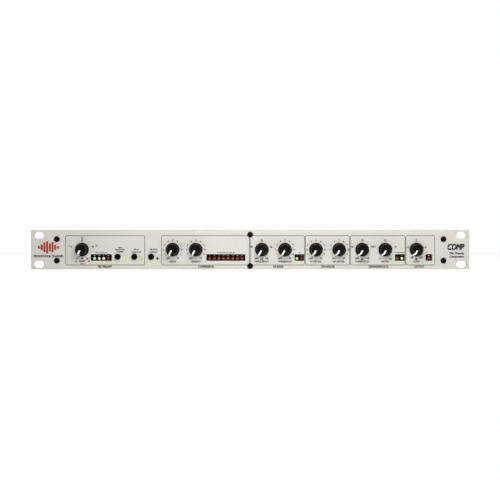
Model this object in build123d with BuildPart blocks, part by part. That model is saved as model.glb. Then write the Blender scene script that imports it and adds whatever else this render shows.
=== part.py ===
"""One-unit rack compressor with a microphone channel, in millimetres.

Frame: X to the right as the front is seen, Y to the rear, Z up. The origin is the centre of the four
rack slots, on the rear face of the front panel, where the panel meets the rack rails.

A small piece is drawn standing on the XY plane with +Z outwards, and is then placed by front() or rear().
Its heights are measured from the outer face that it stands on: the front panel's face or the rear wall's.
"""

import os
from collections import namedtuple

from build123d import *

# ---------------------------------------------------------------- front panel
panel_width = 482.6
panel_height = 43.7
panel_thickness = 3.0
panel_corner_radius = 1.2
panel_edge_radius = 0.9
rack_slot_spacing_x = 465.1
rack_slot_spacing_z = 31.75
rack_slot_length = 11.0
rack_slot_width = 7.2

# ---------------------------------------------------------------- folded steel body
body_width = 438.0
body_depth = 143.0
tray_sheet = 1.0
cover_sheet = 0.8
bend_radius = 1.4
panel_lip = 0.65  # the panel stands this far above the cover
cover_skirt_height = 12.0
cover_gap = 0.15  # between the cover's skirts and the tray's walls
rear_flange_depth = 10.0
vent_length = 18.0
vent_width = 2.2
vent_pitch = 5.0
cover_vent_count = 14
side_vent_count = 8

body_bottom = -panel_height / 2
cover_top = panel_height / 2 - panel_lip
tray_top = cover_top - cover_sheet
floor_top = body_bottom + tray_sheet
wall_inside_y = body_depth - tray_sheet
side_inside_x = body_width / 2 - tray_sheet

# ---------------------------------------------------------------- screws
screw_radius = 1.5
screw_head_radius = 3.2
screw_head_height = 1.75
socket_across_flats = 2.0
thread_gap = 0.06
clearance_hole_radius = 1.7
panel_screw_length = 8.0
cover_screw_length = 4.0
board_screw_length = 5.0
side_screw_x = 212.7
side_screw_z = 11.8
top_screw_z = panel_height / 2 - 5.05
bottom_screw_z = 4.15 - panel_height / 2
inner_hole_radius = screw_radius + thread_gap

panel_screw_places = [(x, z) for x in (-side_screw_x, side_screw_x) for z in (-side_screw_z, side_screw_z)]
panel_screw_places += [(0, top_screw_z), (0, bottom_screw_z)]
cover_side_screw_y = (30.0, 113.0)
cover_side_screw_z = tray_top - cover_skirt_height / 2
cover_rear_screw_x = (-196.0, 0.0, 196.0)
cover_rear_screw_y = wall_inside_y - rear_flange_depth / 2

# ---------------------------------------------------------------- circuit boards
board_thickness = 1.6
standoff_height = 6.0
standoff_radius = 3.0
board_front_gap = 1.0  # between the tray's front wall and the main board
board_top = floor_top + standoff_height + board_thickness
main_board_right = 54.0
main_board_depth = 136.0
front_strip_depth = 60.0
board_screw_gap = 0.8  # between the main board's ends and the panel screws
board_half_width = side_screw_x - screw_radius - board_screw_gap
power_board_left, power_board_right = 126.0, 208.0
power_board_front, power_board_rear = 65.0, 99.0
board_hole_inset = 4.5

# ---------------------------------------------------------------- knobs and potentiometers
control_z = 0.3
knob_names_x = {
    "mic_gain": -184.9,
    "drive": -85.2,
    "density": -59.8,
    "de_esser_frequency": 12.9,
    "de_esser_threshold": 38.3,
    "low_detail": 72.4,
    "high_detail": 97.8,
    "gate_threshold": 123.2,
    "gate_ratio": 148.6,
    "output_gain": 182.9,
}
pointer_rest_angle = 30.0  # degrees clockwise from straight down, the fully anticlockwise stop
knob_gap = 0.8
skirt_radius = 7.5
skirt_height = 1.9
grip_base_radius = 6.9
grip_top_radius = 5.6
crown_radius = 4.6
crown_bevel = 0.9
knob_height = 14.2
crown_dish = 0.45
flute_count = 18
flute_radius = 0.85
pointer_width = 1.3
pointer_depth = 0.35
pointer_start = 1.3

shaft_radius = 3.0
shaft_flat = 1.5  # the depth of the D flat
shaft_fit = 0.05
bushing_wall = 0.5
bushing_radius = shaft_radius + bushing_wall
bushing_stand = 2.9  # how far the bushing stands out of the panel
bushing_gap = 0.15
nut_wall = 1.5
pot_nut_across_flats = 2 * (bushing_radius + nut_wall)
pot_nut_height = 2.0
washer_thickness = 0.5
washer_radius = pot_nut_across_flats * 0.56
nut_clearance = 0.23  # between the nut's corners and the room under the knob's skirt
recess_radius = pot_nut_across_flats / 3**0.5 + nut_clearance
recess_top = bushing_stand + 0.2
pot_width = 12.0
pot_height = 12.5
pot_depth = 7.0
rotor_radius = shaft_radius + 1.6
rotor_thickness = 1.5
rotor_gap = 0.25
knob_bore_depth = 8.6
leg_width = 1.0
leg_thickness = 0.5
pot_leg_pitch = 3.8

# ---------------------------------------------------------------- push buttons
button_names_x = {"phantom_power": -145.9, "low_cut": -127.5, "bypass": -109.0}
button_z = -7.6
button_radius = 3.1
button_stand = 3.0
button_travel = 2.5
button_gap = 0.35
button_cap_length = 7.4
button_stem_side = 3.0
button_stem_length = 10.6
button_stem_gap = 0.1
switch_side = 8.5
switch_depth = 12.4
switch_wall = 1.5

# ---------------------------------------------------------------- meters and lamps
Window = namedtuple("Window", "x leds margin")
led_pitch = 5.08
input_margin = 4.05
meter_margin = 3.7
pair_margin = 2.8
single_margin = 3.6
windows = [
    Window(-163.9, "ggyr", input_margin),
    Window(-26.8, "rrrrrrrr", meter_margin),
    Window(54.1, "gr", pair_margin),
    Window(164.8, "rg", pair_margin),
    Window(196.7, "r", single_margin),
]
window_z = -8.4
window_height = 7.4
window_corner_radius = 0.9
window_lip = 0.8
lens_thickness = 1.2
lens_gap = 0.1
led_z = -9.5
led_radius = 1.5
led_fit = 0.08
led_tail = 9.0  # how far the barrel's rear end is behind the panel's face
led_leg_bend = 1.6
led_leg_spacing = 2.54
lamp_x = {"g1": -138.9, "g2": -120.5, "r1": -102.1}
lamp_width = 3.4
lamp_height = 5.0
lamp_stand = 0.5
round_lamp_stand = 1.1
holder_wall = 0.8  # beside the outermost lamp
holder_rise = 3.4
holder_front = 4.2  # behind the panel's face
holder_boss_front = 1.7  # the face around the lamps, close behind the lens
holder_boss_gap = 0.12

# ---------------------------------------------------------------- mains inlet and power switch
inlet_x = 180.0
socket_z = 0.0
inlet_flange = (50.0, 23.0)
inlet_flange_thickness = 2.5
inlet_body = (27.4, 19.8)
inlet_cavity = (24.4, 16.4)
inlet_cavity_chamfer = 4.0
inlet_cavity_depth = 16.0
inlet_floor = 4.0
inlet_screw_spacing = 40.0
blade_width = 2.0
blade_height = 4.0
blade_spacing = 7.0
blade_offset = 2.0
blade_recess = 2.0
tab_width = 6.3
tab_thickness = 0.8
tab_length = 7.5
cutout_gap = 0.2

power_switch_x = 136.0
bezel = (15.0, 21.0)
bezel_thickness = 2.0
switch_body = (12.8, 18.8)
switch_body_depth = 14.0
rocker_pocket = (10.0, 15.0)
rocker_pocket_depth = 8.0
rocker_half_length = 6.8
rocker_width = 9.6
rocker_end_height = 3.1
rocker_middle_height = 2.0
rocker_bottom = 2.6
rocker_tilt = 10.0
rocker_pin_radius = 1.0
rocker_pin_length = 0.7
rocker_pin_gap = 0.08
switch_tab_offset = 5.0

# ---------------------------------------------------------------- audio sockets
mic_socket_x = -190.0
mic_flange = (26.0, 31.0)
mic_flange_thickness = 2.5
mic_body_radius = 11.8
mic_body_depth = 20.0
mic_groove_outer = 9.7
mic_groove_inner = 7.85
mic_groove_depth = 13.5
mic_insert_recess = 1.2
contact_circle = 4.75
contact_angles = (35.0, 145.0, 270.0)
contact_hole_radius = 1.35
contact_outer_radius = 1.9
contact_depth = 10.0
contact_tail = 4.0
keyway_width = 3.0
keyway_depth = 1.2
latch_width = 7.0
latch_height = 3.4
latch_y = 12.5
latch_thickness = 2.0
latch_stand = 0.9
latch_travel = 1.2
latch_gap = 0.12
mic_screw_x = 9.5
mic_screw_y = 12.0
mic_screw_head_radius = 2.6

jack_x = (-155.0, -129.6, -104.2)
jack_z = -3.5
jack_bore_radius = 3.25
jack_bore_depth = 31.5
jack_thread_radius = 4.5
jack_stand = 4.6
jack_body_width = 15.6
jack_body_depth = 28.0
jack_body_rise = 7.2
jack_nut_across_flats = 12.0
jack_nut_height = 2.2
jack_washer_radius = 7.0
jack_washer_thickness = 0.5

# ---------------------------------------------------------------- power supply
transformer_x, transformer_y = 90.0, 100.0
core_width = 48.0
core_length = 40.0
core_stack = 20.0
core_limb = 8.0
winding_gap = 0.2
winding_build = 7.6  # how thick the winding is on each side of the centre limb
winding_floor_gap = 0.8
bracket_sheet = 1.2
bracket_lip = 6.0
bracket_foot = 8.0
transformer_z = floor_top + winding_floor_gap + winding_build + core_stack / 2
wire_radius = 0.9


def front(x, z=0.0):
    """The place of a piece that stands on the front panel's face."""
    return Location((x, -panel_thickness, z), (90, 0, 0))


def rear(x, z=0.0):
    """The place of a piece that stands on the rear wall's outer face, upright as seen from behind."""
    return Plane(origin=(x, body_depth, z), x_dir=(-1, 0, 0), z_dir=(0, 1, 0)).location


def block(x, y, z, mode=Mode.ADD):
    """A box in the part being built, from three (low, high) pairs."""
    with Locations([tuple(sum(span) / 2 for span in (x, y, z))]):
        Box(x[1] - x[0], y[1] - y[0], z[1] - z[0], mode=mode)


def group(pieces):
    """Separate solids that share a node."""
    return Compound([solid for piece in pieces for solid in piece.solids()])


def save(piece, name):
    """Writes one finished node."""
    piece.label = name
    export_step(piece, f"parts/{name}.step")


def window_width(window):
    return (len(window.leds) - 1) * led_pitch + 2 * window.margin


def led_places(colour):
    """The X of every meter lamp of one colour."""
    places = []
    for window in windows:
        first = window.x - (len(window.leds) - 1) * led_pitch / 2
        places += [first + i * led_pitch for i, led in enumerate(window.leds) if led == colour]
    return places


def control_openings():
    """The holes that the front panel and the tray's front wall share, in the sketch being drawn."""
    with Locations([(x, control_z) for x in knob_names_x.values()]):
        Circle(bushing_radius + bushing_gap)
    with Locations([(x, button_z) for x in button_names_x.values()]):
        Circle(button_radius + button_gap)
    for window in windows:
        with Locations((window.x, window_z)):
            Rectangle(window_width(window) - 2 * window_lip, window_height - 2 * window_lip)
    with Locations((lamp_x["g1"], led_z), (lamp_x["g2"], led_z)):
        Rectangle(lamp_width + 2 * led_fit, lamp_height + 2 * led_fit)
    with Locations((lamp_x["r1"], led_z)):
        Circle(led_radius + led_fit)


# ---------------------------------------------------------------- casing
def make_front_panel():
    with BuildPart() as front_panel:
        with BuildSketch(Plane.XZ):
            RectangleRounded(panel_width, panel_height, panel_corner_radius)
        extrude(amount=panel_thickness)
        fillet(front_panel.faces().sort_by(Axis.Y)[0].edges(), panel_edge_radius)
        with BuildSketch(Plane.XZ):
            with GridLocations(rack_slot_spacing_x, rack_slot_spacing_z, 2, 2):
                SlotOverall(rack_slot_length, rack_slot_width)
            with Locations(panel_screw_places):
                Circle(clearance_hole_radius)
            control_openings()
        extrude(amount=panel_thickness, mode=Mode.SUBTRACT)
        with BuildSketch(Plane.XZ.offset(panel_thickness)):
            for window in windows:
                with Locations((window.x, window_z)):
                    RectangleRounded(window_width(window), window_height, window_corner_radius)
        extrude(amount=-lens_thickness, mode=Mode.SUBTRACT)
    return front_panel.part


def make_chassis_tray():
    """Floor, four walls and a rear flange, folded from one sheet and open at the top."""
    with BuildPart() as tray:
        with BuildSketch(Plane.XY.offset(body_bottom)):
            with Locations((0, body_depth / 2)):
                Rectangle(body_width, body_depth)
        extrude(amount=tray_top - body_bottom)
        fillet(tray.edges().filter_by(Axis.Z) + tray.faces().sort_by(Axis.Z)[0].edges(), bend_radius)
        offset(amount=-tray_sheet, openings=tray.faces().sort_by(Axis.Z)[-1])
        # The flange along the top of the rear wall takes the cover's rear screws.
        flange_end = side_inside_x - 2 * bend_radius
        block(
            (-flange_end, flange_end),
            (wall_inside_y - rear_flange_depth, wall_inside_y),
            (tray_top - tray_sheet, tray_top),
        )
        with BuildSketch(Plane.XZ.offset(-tray_sheet)):
            with Locations(panel_screw_places):
                Circle(inner_hole_radius)
            control_openings()
        extrude(amount=tray_sheet, mode=Mode.SUBTRACT)
        with BuildSketch(Plane.XZ.offset(-body_depth)):
            with Locations((inlet_x, socket_z)):
                Rectangle(inlet_body[0] + 2 * cutout_gap, inlet_body[1] + 2 * cutout_gap)
            with Locations((power_switch_x, socket_z)):
                Rectangle(switch_body[0] + 2 * cutout_gap, switch_body[1] + 2 * cutout_gap)
            with Locations((mic_socket_x, socket_z)):
                Circle(mic_body_radius + cutout_gap)
            with Locations([(x, jack_z) for x in jack_x]):
                Circle(jack_thread_radius + bushing_gap)
            with Locations([(x, z) for x, z in rear_screw_places()]):
                Circle(inner_hole_radius)
        extrude(amount=tray_sheet, mode=Mode.SUBTRACT)
        with BuildSketch(Plane.XY.offset(tray_top)):
            with Locations([(x, cover_rear_screw_y) for x in cover_rear_screw_x]):
                Circle(inner_hole_radius)
        extrude(amount=-tray_sheet, mode=Mode.SUBTRACT)
        with BuildSketch(Plane.YZ.offset(-body_width / 2)):
            with Locations([(y, cover_side_screw_z) for y in cover_side_screw_y]):
                Circle(inner_hole_radius)
        extrude(amount=body_width, mode=Mode.SUBTRACT)
        # Cooling slots in the right wall, beside the power supply.
        with BuildSketch(Plane.YZ.offset(side_inside_x)):
            with Locations((sum(cover_side_screw_y) / 2, 0)):
                with GridLocations(vent_pitch, 0, side_vent_count, 1):
                    SlotOverall(vent_length / 2, vent_width, rotation=90)
        extrude(amount=tray_sheet, mode=Mode.SUBTRACT)
    return tray.part


def make_top_cover():
    """Lid with a skirt over each side wall of the tray."""
    half = body_width / 2 + cover_gap + cover_sheet
    with BuildPart() as cover:
        block((-half, half), (cover_gap, body_depth), (tray_top - cover_skirt_height, cover_top))
        fillet(cover.faces().sort_by(Axis.Z)[-1].edges().filter_by(Axis.Y), bend_radius)
        inside = half - cover_sheet
        block(
            (-inside, inside),
            (cover_gap, body_depth),
            (tray_top - cover_skirt_height, tray_top),
            mode=Mode.SUBTRACT,
        )
        with BuildSketch(Plane.XY.offset(tray_top)):
            with Locations([(x, cover_rear_screw_y) for x in cover_rear_screw_x]):
                Circle(clearance_hole_radius)
            with Locations((transformer_x, transformer_y - (vent_length + vent_pitch) / 2)):
                with GridLocations(vent_pitch, vent_length + vent_pitch, cover_vent_count, 2):
                    SlotOverall(vent_length, vent_width, rotation=90)
        extrude(amount=cover_sheet, mode=Mode.SUBTRACT)
        with BuildSketch(Plane.YZ.offset(-half)):
            with Locations([(y, cover_side_screw_z) for y in cover_side_screw_y]):
                Circle(clearance_hole_radius)
        extrude(amount=2 * half, mode=Mode.SUBTRACT)
    return cover.part


# ---------------------------------------------------------------- screws
def make_socket_screw(length):
    """Button-head screw with a hexagon socket; its head stands on z = 0."""
    with BuildPart() as screw:
        Cylinder(screw_head_radius, screw_head_height, align=(Align.CENTER, Align.CENTER, Align.MIN))
        fillet(screw.faces().sort_by(Axis.Z)[-1].edges(), screw_head_height * 0.6)
        Cylinder(screw_radius, length, align=(Align.CENTER, Align.CENTER, Align.MAX))
        with BuildSketch(Plane.XY.offset(screw_head_height)):
            RegularPolygon(socket_across_flats / 2, 6, major_radius=False)
        extrude(amount=-screw_head_height * 0.65, mode=Mode.SUBTRACT)
    return screw.part


def make_cross_screw(length, head_radius=screw_head_radius):
    """Pan-head screw with a cross recess; its head stands on z = 0."""
    with BuildPart() as screw:
        Cylinder(head_radius, screw_head_height, align=(Align.CENTER, Align.CENTER, Align.MIN))
        fillet(screw.faces().sort_by(Axis.Z)[-1].edges(), screw_head_height * 0.45)
        Cylinder(screw_radius, length, align=(Align.CENTER, Align.CENTER, Align.MAX))
        with BuildSketch(Plane.XY.offset(screw_head_height)):
            Rectangle(head_radius * 1.15, head_radius * 0.28)
            Rectangle(head_radius * 0.28, head_radius * 1.15)
        extrude(amount=-screw_head_height * 0.6, mode=Mode.SUBTRACT)
    return screw.part


def rear_screw_places():
    """Where the mains inlet's and the microphone socket's screws stand, as (X, Z)."""
    places = [(inlet_x + side * inlet_screw_spacing / 2, socket_z) for side in (-1, 1)]
    places += [(mic_socket_x + side * mic_screw_x, socket_z - side * mic_screw_y) for side in (-1, 1)]
    return places


def make_cover_screws():
    screw = make_cross_screw(cover_screw_length)
    side = body_width / 2 + cover_gap + cover_sheet
    places = [Location((x, cover_rear_screw_y, cover_top)) for x in cover_rear_screw_x]
    for y in cover_side_screw_y:
        places.append(Plane((side, y, cover_side_screw_z), z_dir=(1, 0, 0)).location)
        places.append(Plane((-side, y, cover_side_screw_z), z_dir=(-1, 0, 0)).location)
    return group([screw.moved(place) for place in places])


def make_socket_screws():
    """The screws that hold the mains inlet and the microphone socket to the rear wall."""
    screw = make_cross_screw(tray_sheet + inlet_flange_thickness + 2.0, mic_screw_head_radius)
    stand = Location((0, 0, inlet_flange_thickness))
    return group([screw.moved(rear(x, z) * stand) for x, z in rear_screw_places()])


# ---------------------------------------------------------------- circuit boards
def main_board_holes():
    left = -board_half_width + board_hole_inset
    front_y = tray_sheet + board_front_gap + board_hole_inset + 10
    rear_y = main_board_depth - board_hole_inset
    middle_x = (left + main_board_right - board_hole_inset) / 2
    strip_y = front_strip_depth - board_hole_inset
    return [
        (left, front_y),
        (-left, front_y),
        (left + 34, rear_y - 32),
        (middle_x, rear_y),
        (main_board_right - board_hole_inset, rear_y),
        (middle_x, strip_y),
        (main_board_right + 30, strip_y),
        (-left, strip_y),
    ]


def power_board_holes():
    return [
        (x, y)
        for x in (power_board_left + board_hole_inset, power_board_right - board_hole_inset)
        for y in (power_board_front + board_hole_inset, power_board_rear - board_hole_inset)
    ]


def make_main_board():
    """L-shaped: a strip behind all the controls, and a deep part behind the audio sockets."""
    board_front = tray_sheet + board_front_gap
    outline = [
        (-board_half_width, board_front),
        (board_half_width, board_front),
        (board_half_width, front_strip_depth),
        (main_board_right, front_strip_depth),
        (main_board_right, main_board_depth),
        (-board_half_width, main_board_depth),
    ]
    with BuildPart() as board:
        with BuildSketch(Plane.XY.offset(board_top)):
            with BuildLine():
                Polyline(*outline, close=True)
            make_face()
            with Locations(main_board_holes()):
                Circle(clearance_hole_radius, mode=Mode.SUBTRACT)
        extrude(amount=-board_thickness)
    return board.part


def make_power_board():
    with BuildPart() as board:
        block(
            (power_board_left, power_board_right),
            (power_board_front, power_board_rear),
            (board_top - board_thickness, board_top),
        )
        with BuildSketch(Plane.XY.offset(board_top)):
            with Locations(power_board_holes()):
                Circle(clearance_hole_radius)
        extrude(amount=-board_thickness, mode=Mode.SUBTRACT)
    return board.part


def make_standoffs():
    with BuildPart() as standoff:
        with BuildSketch(Plane.XY.offset(floor_top)):
            Circle(standoff_radius)
            Circle(inner_hole_radius, mode=Mode.SUBTRACT)
        extrude(amount=standoff_height)
    holes = main_board_holes() + power_board_holes()
    return group([standoff.part.moved(Location((x, y, 0))) for x, y in holes])


def make_board_screws():
    screw = make_cross_screw(board_screw_length)
    return group(
        [screw.moved(Location((x, y, board_top))) for x, y in main_board_holes() + power_board_holes()]
    )


# ---------------------------------------------------------------- knobs and potentiometers
def knob_section(inset=0.0):
    """Half of the knob's section, taken in by inset."""
    top = knob_height - inset
    grip_bottom = knob_gap + skirt_height
    with BuildSketch(Plane.XZ) as section:
        with BuildLine():
            Polyline(
                (0, knob_gap),
                (skirt_radius - inset, knob_gap),
                (skirt_radius - inset, grip_bottom - inset),
                (grip_base_radius - inset, grip_bottom - inset + 0.5),
                (grip_top_radius - inset, top - crown_bevel),
                (crown_radius - inset / 2, top),
            )
            ThreePointArc(
                (crown_radius - inset / 2, top),
                (crown_radius / 2, top - crown_dish * 0.75),
                (0, top - crown_dish),
            )
            Line((0, top - crown_dish), (0, knob_gap))
        make_face()
    return section.sketch


def make_knob():
    """Fluted knob with a dished crown, a pointer groove, a D bore and room for the nut under its skirt."""
    with BuildPart() as core:
        add(knob_section(pointer_depth))
        revolve(axis=Axis.Z)
    # The pointer's groove: a strip down the crown and the side, as deep as the core lies below the surface.
    with BuildPart() as groove:
        half = pointer_width / 2
        block((-half, half), (-2 * skirt_radius, -pointer_start), (0, knob_height + 1))
        add(core.part, mode=Mode.SUBTRACT)
    with BuildPart() as knob:
        add(knob_section())
        revolve(axis=Axis.Z)
        # Flutes lean with the grip's taper and leave a whole rib under the pointer.
        foot = Vector(grip_base_radius + flute_radius * 0.35, 0, knob_gap + skirt_height + 0.5)
        head = Vector(grip_top_radius + flute_radius * 0.35, 0, knob_height + 1)
        with BuildPart(mode=Mode.PRIVATE) as flute:
            with BuildSketch(Plane(foot, z_dir=head - foot)):
                Circle(flute_radius)
            extrude(amount=(head - foot).length)
        first = -90 + 180 / flute_count
        with PolarLocations(0, flute_count, start_angle=first):
            add(flute.part, mode=Mode.SUBTRACT)
        add(groove.part, mode=Mode.SUBTRACT)
        Cylinder(
            recess_radius,
            recess_top,
            align=(Align.CENTER, Align.CENTER, Align.MIN),
            mode=Mode.SUBTRACT,
        )
        with BuildSketch(Plane.XY.offset(recess_top)):
            d_section(shaft_radius + shaft_fit, shaft_flat - shaft_fit)
        extrude(amount=knob_bore_depth, mode=Mode.SUBTRACT)
    return knob.part.rotate(Axis.Z, -pointer_rest_angle)


def d_section(radius, flat):
    """A circle with one flat, on the side away from the pointer, in the sketch being drawn."""
    Circle(radius)
    with Locations((0, radius)):
        Rectangle(2 * radius, 2 * flat, mode=Mode.SUBTRACT)


def make_shaft():
    """A potentiometer's turning piece: the D-ended shaft and the rotor disc that carries the wiper."""
    rotor_front = -(panel_thickness + tray_sheet) - pot_depth / 2
    with BuildPart() as shaft:
        with BuildSketch(Plane.XY.offset(rotor_front)):
            Circle(rotor_radius)
        extrude(amount=-rotor_thickness)
        with BuildSketch(Plane.XY.offset(rotor_front)):
            Circle(shaft_radius)
        extrude(amount=recess_top - rotor_front)
        with BuildSketch(Plane.XY.offset(recess_top)):
            d_section(shaft_radius, shaft_flat)
        extrude(amount=knob_bore_depth - 0.6)
        chamfer(shaft.faces().sort_by(Axis.Z)[-1].edges(), 0.3)
    return shaft.part.rotate(Axis.Z, -pointer_rest_angle)


def make_pot_housing():
    """A potentiometer's body with its threaded bushing, rotor chamber and three legs on the main board."""
    body_front = -(panel_thickness + tray_sheet)
    rotor_front = body_front - pot_depth / 2
    with BuildPart() as housing:
        with BuildSketch(Plane.XY.offset(body_front)):
            RectangleRounded(pot_width, pot_height, 1.5)
        extrude(amount=-pot_depth)
        with BuildSketch(Plane.XY.offset(body_front)):
            Circle(bushing_radius)
        extrude(amount=bushing_stand - body_front)
        with BuildSketch(Plane.XY.offset(bushing_stand)):
            Circle(shaft_radius + shaft_fit)
        extrude(amount=rotor_front - bushing_stand, mode=Mode.SUBTRACT)
        with BuildSketch(Plane.XY.offset(rotor_front + rotor_gap)):
            Circle(rotor_radius + rotor_gap)
        extrude(amount=-(rotor_thickness + 2 * rotor_gap), mode=Mode.SUBTRACT)
        leg_z = body_front - pot_depth + leg_thickness
        for i in (-1, 0, 1):
            block(
                (i * pot_leg_pitch - leg_width / 2, i * pot_leg_pitch + leg_width / 2),
                (board_top - control_z, -pot_height / 2 + 1),
                (leg_z - leg_thickness, leg_z),
            )
    return housing.part


def make_nut(across_flats, height, bore, base):
    with BuildPart() as nut:
        with BuildSketch(Plane.XY.offset(base)):
            RegularPolygon(across_flats / 2, 6, major_radius=False)
            Circle(bore, mode=Mode.SUBTRACT)
        extrude(amount=height)
    return nut.part


def make_washer(radius, height, bore):
    with BuildPart() as washer:
        with BuildSketch():
            Circle(radius)
            Circle(bore, mode=Mode.SUBTRACT)
        extrude(amount=height)
    return washer.part


# ---------------------------------------------------------------- push buttons
def make_button():
    """Round cap with a square stem that works the latching switch behind it."""
    with BuildPart() as button:
        with BuildSketch(Plane.XY.offset(button_stand - button_cap_length)):
            Circle(button_radius)
        extrude(amount=button_cap_length)
        fillet(button.faces().sort_by(Axis.Z)[-1].edges(), 0.7)
        with BuildSketch(Plane.XY.offset(button_stand - button_cap_length)):
            Rectangle(button_stem_side, button_stem_side)
        extrude(amount=-button_stem_length)
    return button.part


def make_button_switch():
    """A latching switch's housing on the main board, with the channel that its button's stem slides in."""
    face = button_stand - button_cap_length - button_travel - 0.6
    low = board_top - button_z
    with BuildPart() as housing:
        block((-switch_side / 2, switch_side / 2), (low, low + switch_side), (face - switch_depth, face))
        with BuildSketch(Plane.XY.offset(face)):
            Rectangle(button_stem_side + 2 * button_stem_gap, button_stem_side + 2 * button_stem_gap)
        extrude(amount=switch_wall - switch_depth, mode=Mode.SUBTRACT)
    return housing.part


# ---------------------------------------------------------------- meters and lamps
def lamp_legs():
    """Two leads from a lamp's rear end, bent down to the main board, in the part being built."""
    for side in (-1, 1):
        x = side * led_leg_spacing / 2
        half = leg_thickness / 2
        bend = -led_tail - led_leg_bend
        block((x - half, x + half), (-half, half), (bend, -led_tail))
        block((x - half, x + half), (board_top - led_z, half), (bend, bend + leg_thickness))


def make_round_led(tip):
    """A 3 mm lamp whose dome ends at height tip."""
    with BuildPart() as led:
        with BuildSketch(Plane.XY.offset(-led_tail)):
            Circle(led_radius)
        extrude(amount=led_tail + tip - led_radius)
        with Locations((0, 0, tip - led_radius)):
            Sphere(led_radius)
        lamp_legs()
    return led.part


def make_flat_led():
    """A lamp with a rectangular face, for the light beside a button."""
    with BuildPart() as led:
        with BuildSketch(Plane.XY.offset(-led_tail)):
            Rectangle(lamp_width, lamp_height)
        extrude(amount=led_tail + lamp_stand)
        chamfer(led.faces().sort_by(Axis.Z)[-1].edges(), 0.2)
        lamp_legs()
    return led.part


def make_led_holder(count, flat=False, boss_width=0.0):
    """The block that holds a row of lamps above the main board; a boss on it fills a meter's window."""
    low = board_top - led_z
    half = (count - 1) * led_pitch / 2 + (lamp_width / 2 if flat else led_radius) + holder_wall
    with BuildPart() as holder:
        block((-half, half), (low, holder_rise), (-led_tail, -holder_front))
        if boss_width:
            middle = window_z - led_z
            boss_half = (window_height - 2 * window_lip) / 2 - holder_boss_gap
            block(
                (-boss_width / 2, boss_width / 2),
                (middle - boss_half, middle + boss_half),
                (-holder_front, -holder_boss_front),
            )
        with BuildSketch(Plane.XY.offset(-led_tail)):
            with GridLocations(led_pitch, 0, count, 1):
                if flat:
                    Rectangle(lamp_width + 2 * led_fit, lamp_height + 2 * led_fit)
                else:
                    Circle(led_radius + led_fit)
        extrude(amount=led_tail, mode=Mode.SUBTRACT)
    return holder.part


def make_led_holders():
    holders = []
    for window in windows:
        boss_width = window_width(window) - 2 * window_lip - 2 * holder_boss_gap
        holder = make_led_holder(len(window.leds), boss_width=boss_width)
        holders.append(holder.moved(front(window.x, led_z)))
    holders += [make_led_holder(1, flat=True).moved(front(lamp_x[name], led_z)) for name in ("g1", "g2")]
    holders.append(make_led_holder(1).moved(front(lamp_x["r1"], led_z)))
    return group(holders)


def make_lenses():
    """Smoked windows, each in its pocket in the panel."""
    lenses = []
    for window in windows:
        with BuildPart() as lens:
            with BuildSketch(Plane.XY.offset(-lens_thickness)):
                RectangleRounded(
                    window_width(window) - 2 * lens_gap,
                    window_height - 2 * lens_gap,
                    window_corner_radius - lens_gap,
                )
            extrude(amount=lens_thickness - lens_gap)
        lenses.append(lens.part.moved(front(window.x, window_z)))
    return group(lenses)


# ---------------------------------------------------------------- mains inlet and power switch
def make_mains_inlet():
    """Flanged inlet with a keyed cavity; its blades pass through slots in the cavity's floor."""
    width, height = inlet_cavity
    top = height / 2
    with BuildPart() as inlet:
        with BuildSketch():
            RectangleRounded(*inlet_flange, 3.0)
        extrude(amount=inlet_flange_thickness)
        chamfer(inlet.faces().sort_by(Axis.Z)[-1].edges(), 0.5)
        with BuildSketch():
            Rectangle(*inlet_body)
        extrude(amount=inlet_flange_thickness - inlet_cavity_depth - inlet_floor)
        with BuildSketch(Plane.XY.offset(inlet_flange_thickness)):
            with BuildLine():
                Polyline(
                    (-width / 2, -top),
                    (width / 2, -top),
                    (width / 2, top - inlet_cavity_chamfer),
                    (width / 2 - inlet_cavity_chamfer, top),
                    (inlet_cavity_chamfer - width / 2, top),
                    (-width / 2, top - inlet_cavity_chamfer),
                    close=True,
                )
            make_face()
        extrude(amount=-inlet_cavity_depth, mode=Mode.SUBTRACT)
        with BuildSketch(Plane.XY.offset(inlet_flange_thickness)):
            with Locations(blade_places()):
                Rectangle(blade_width + 2 * shaft_fit, blade_height + 2 * shaft_fit)
            with Locations((-inlet_screw_spacing / 2, 0), (inlet_screw_spacing / 2, 0)):
                Circle(clearance_hole_radius)
        extrude(amount=-inlet_cavity_depth - inlet_floor, mode=Mode.SUBTRACT)
    return inlet.part


def blade_places():
    return [(-blade_spacing, -blade_offset), (blade_spacing, -blade_offset), (0, blade_offset)]


def make_mains_contacts():
    """The inlet's three blades and the power switch's two tabs."""
    floor_rear = inlet_flange_thickness - inlet_cavity_depth - inlet_floor
    with BuildPart() as blade:
        block(
            (-blade_width / 2, blade_width / 2),
            (-blade_height / 2, blade_height / 2),
            (floor_rear, inlet_flange_thickness - blade_recess),
        )
        chamfer(blade.faces().sort_by(Axis.Z)[-1].edges(), 0.5)
        block(
            (-tab_thickness / 2, tab_thickness / 2),
            (-tab_width / 2, tab_width / 2),
            (floor_rear - tab_length, floor_rear),
        )
    with BuildPart() as tab:
        block(
            (-tab_width / 2, tab_width / 2),
            (-tab_thickness / 2, tab_thickness / 2),
            (-switch_body_depth - tab_length, -switch_body_depth),
        )
    blades = [blade.part.moved(rear(inlet_x, socket_z) * Location((x, y, 0))) for x, y in blade_places()]
    offsets = (-switch_tab_offset, switch_tab_offset)
    tabs = [tab.part.moved(rear(power_switch_x, socket_z + offset)) for offset in offsets]
    return group(blades + tabs)


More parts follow.
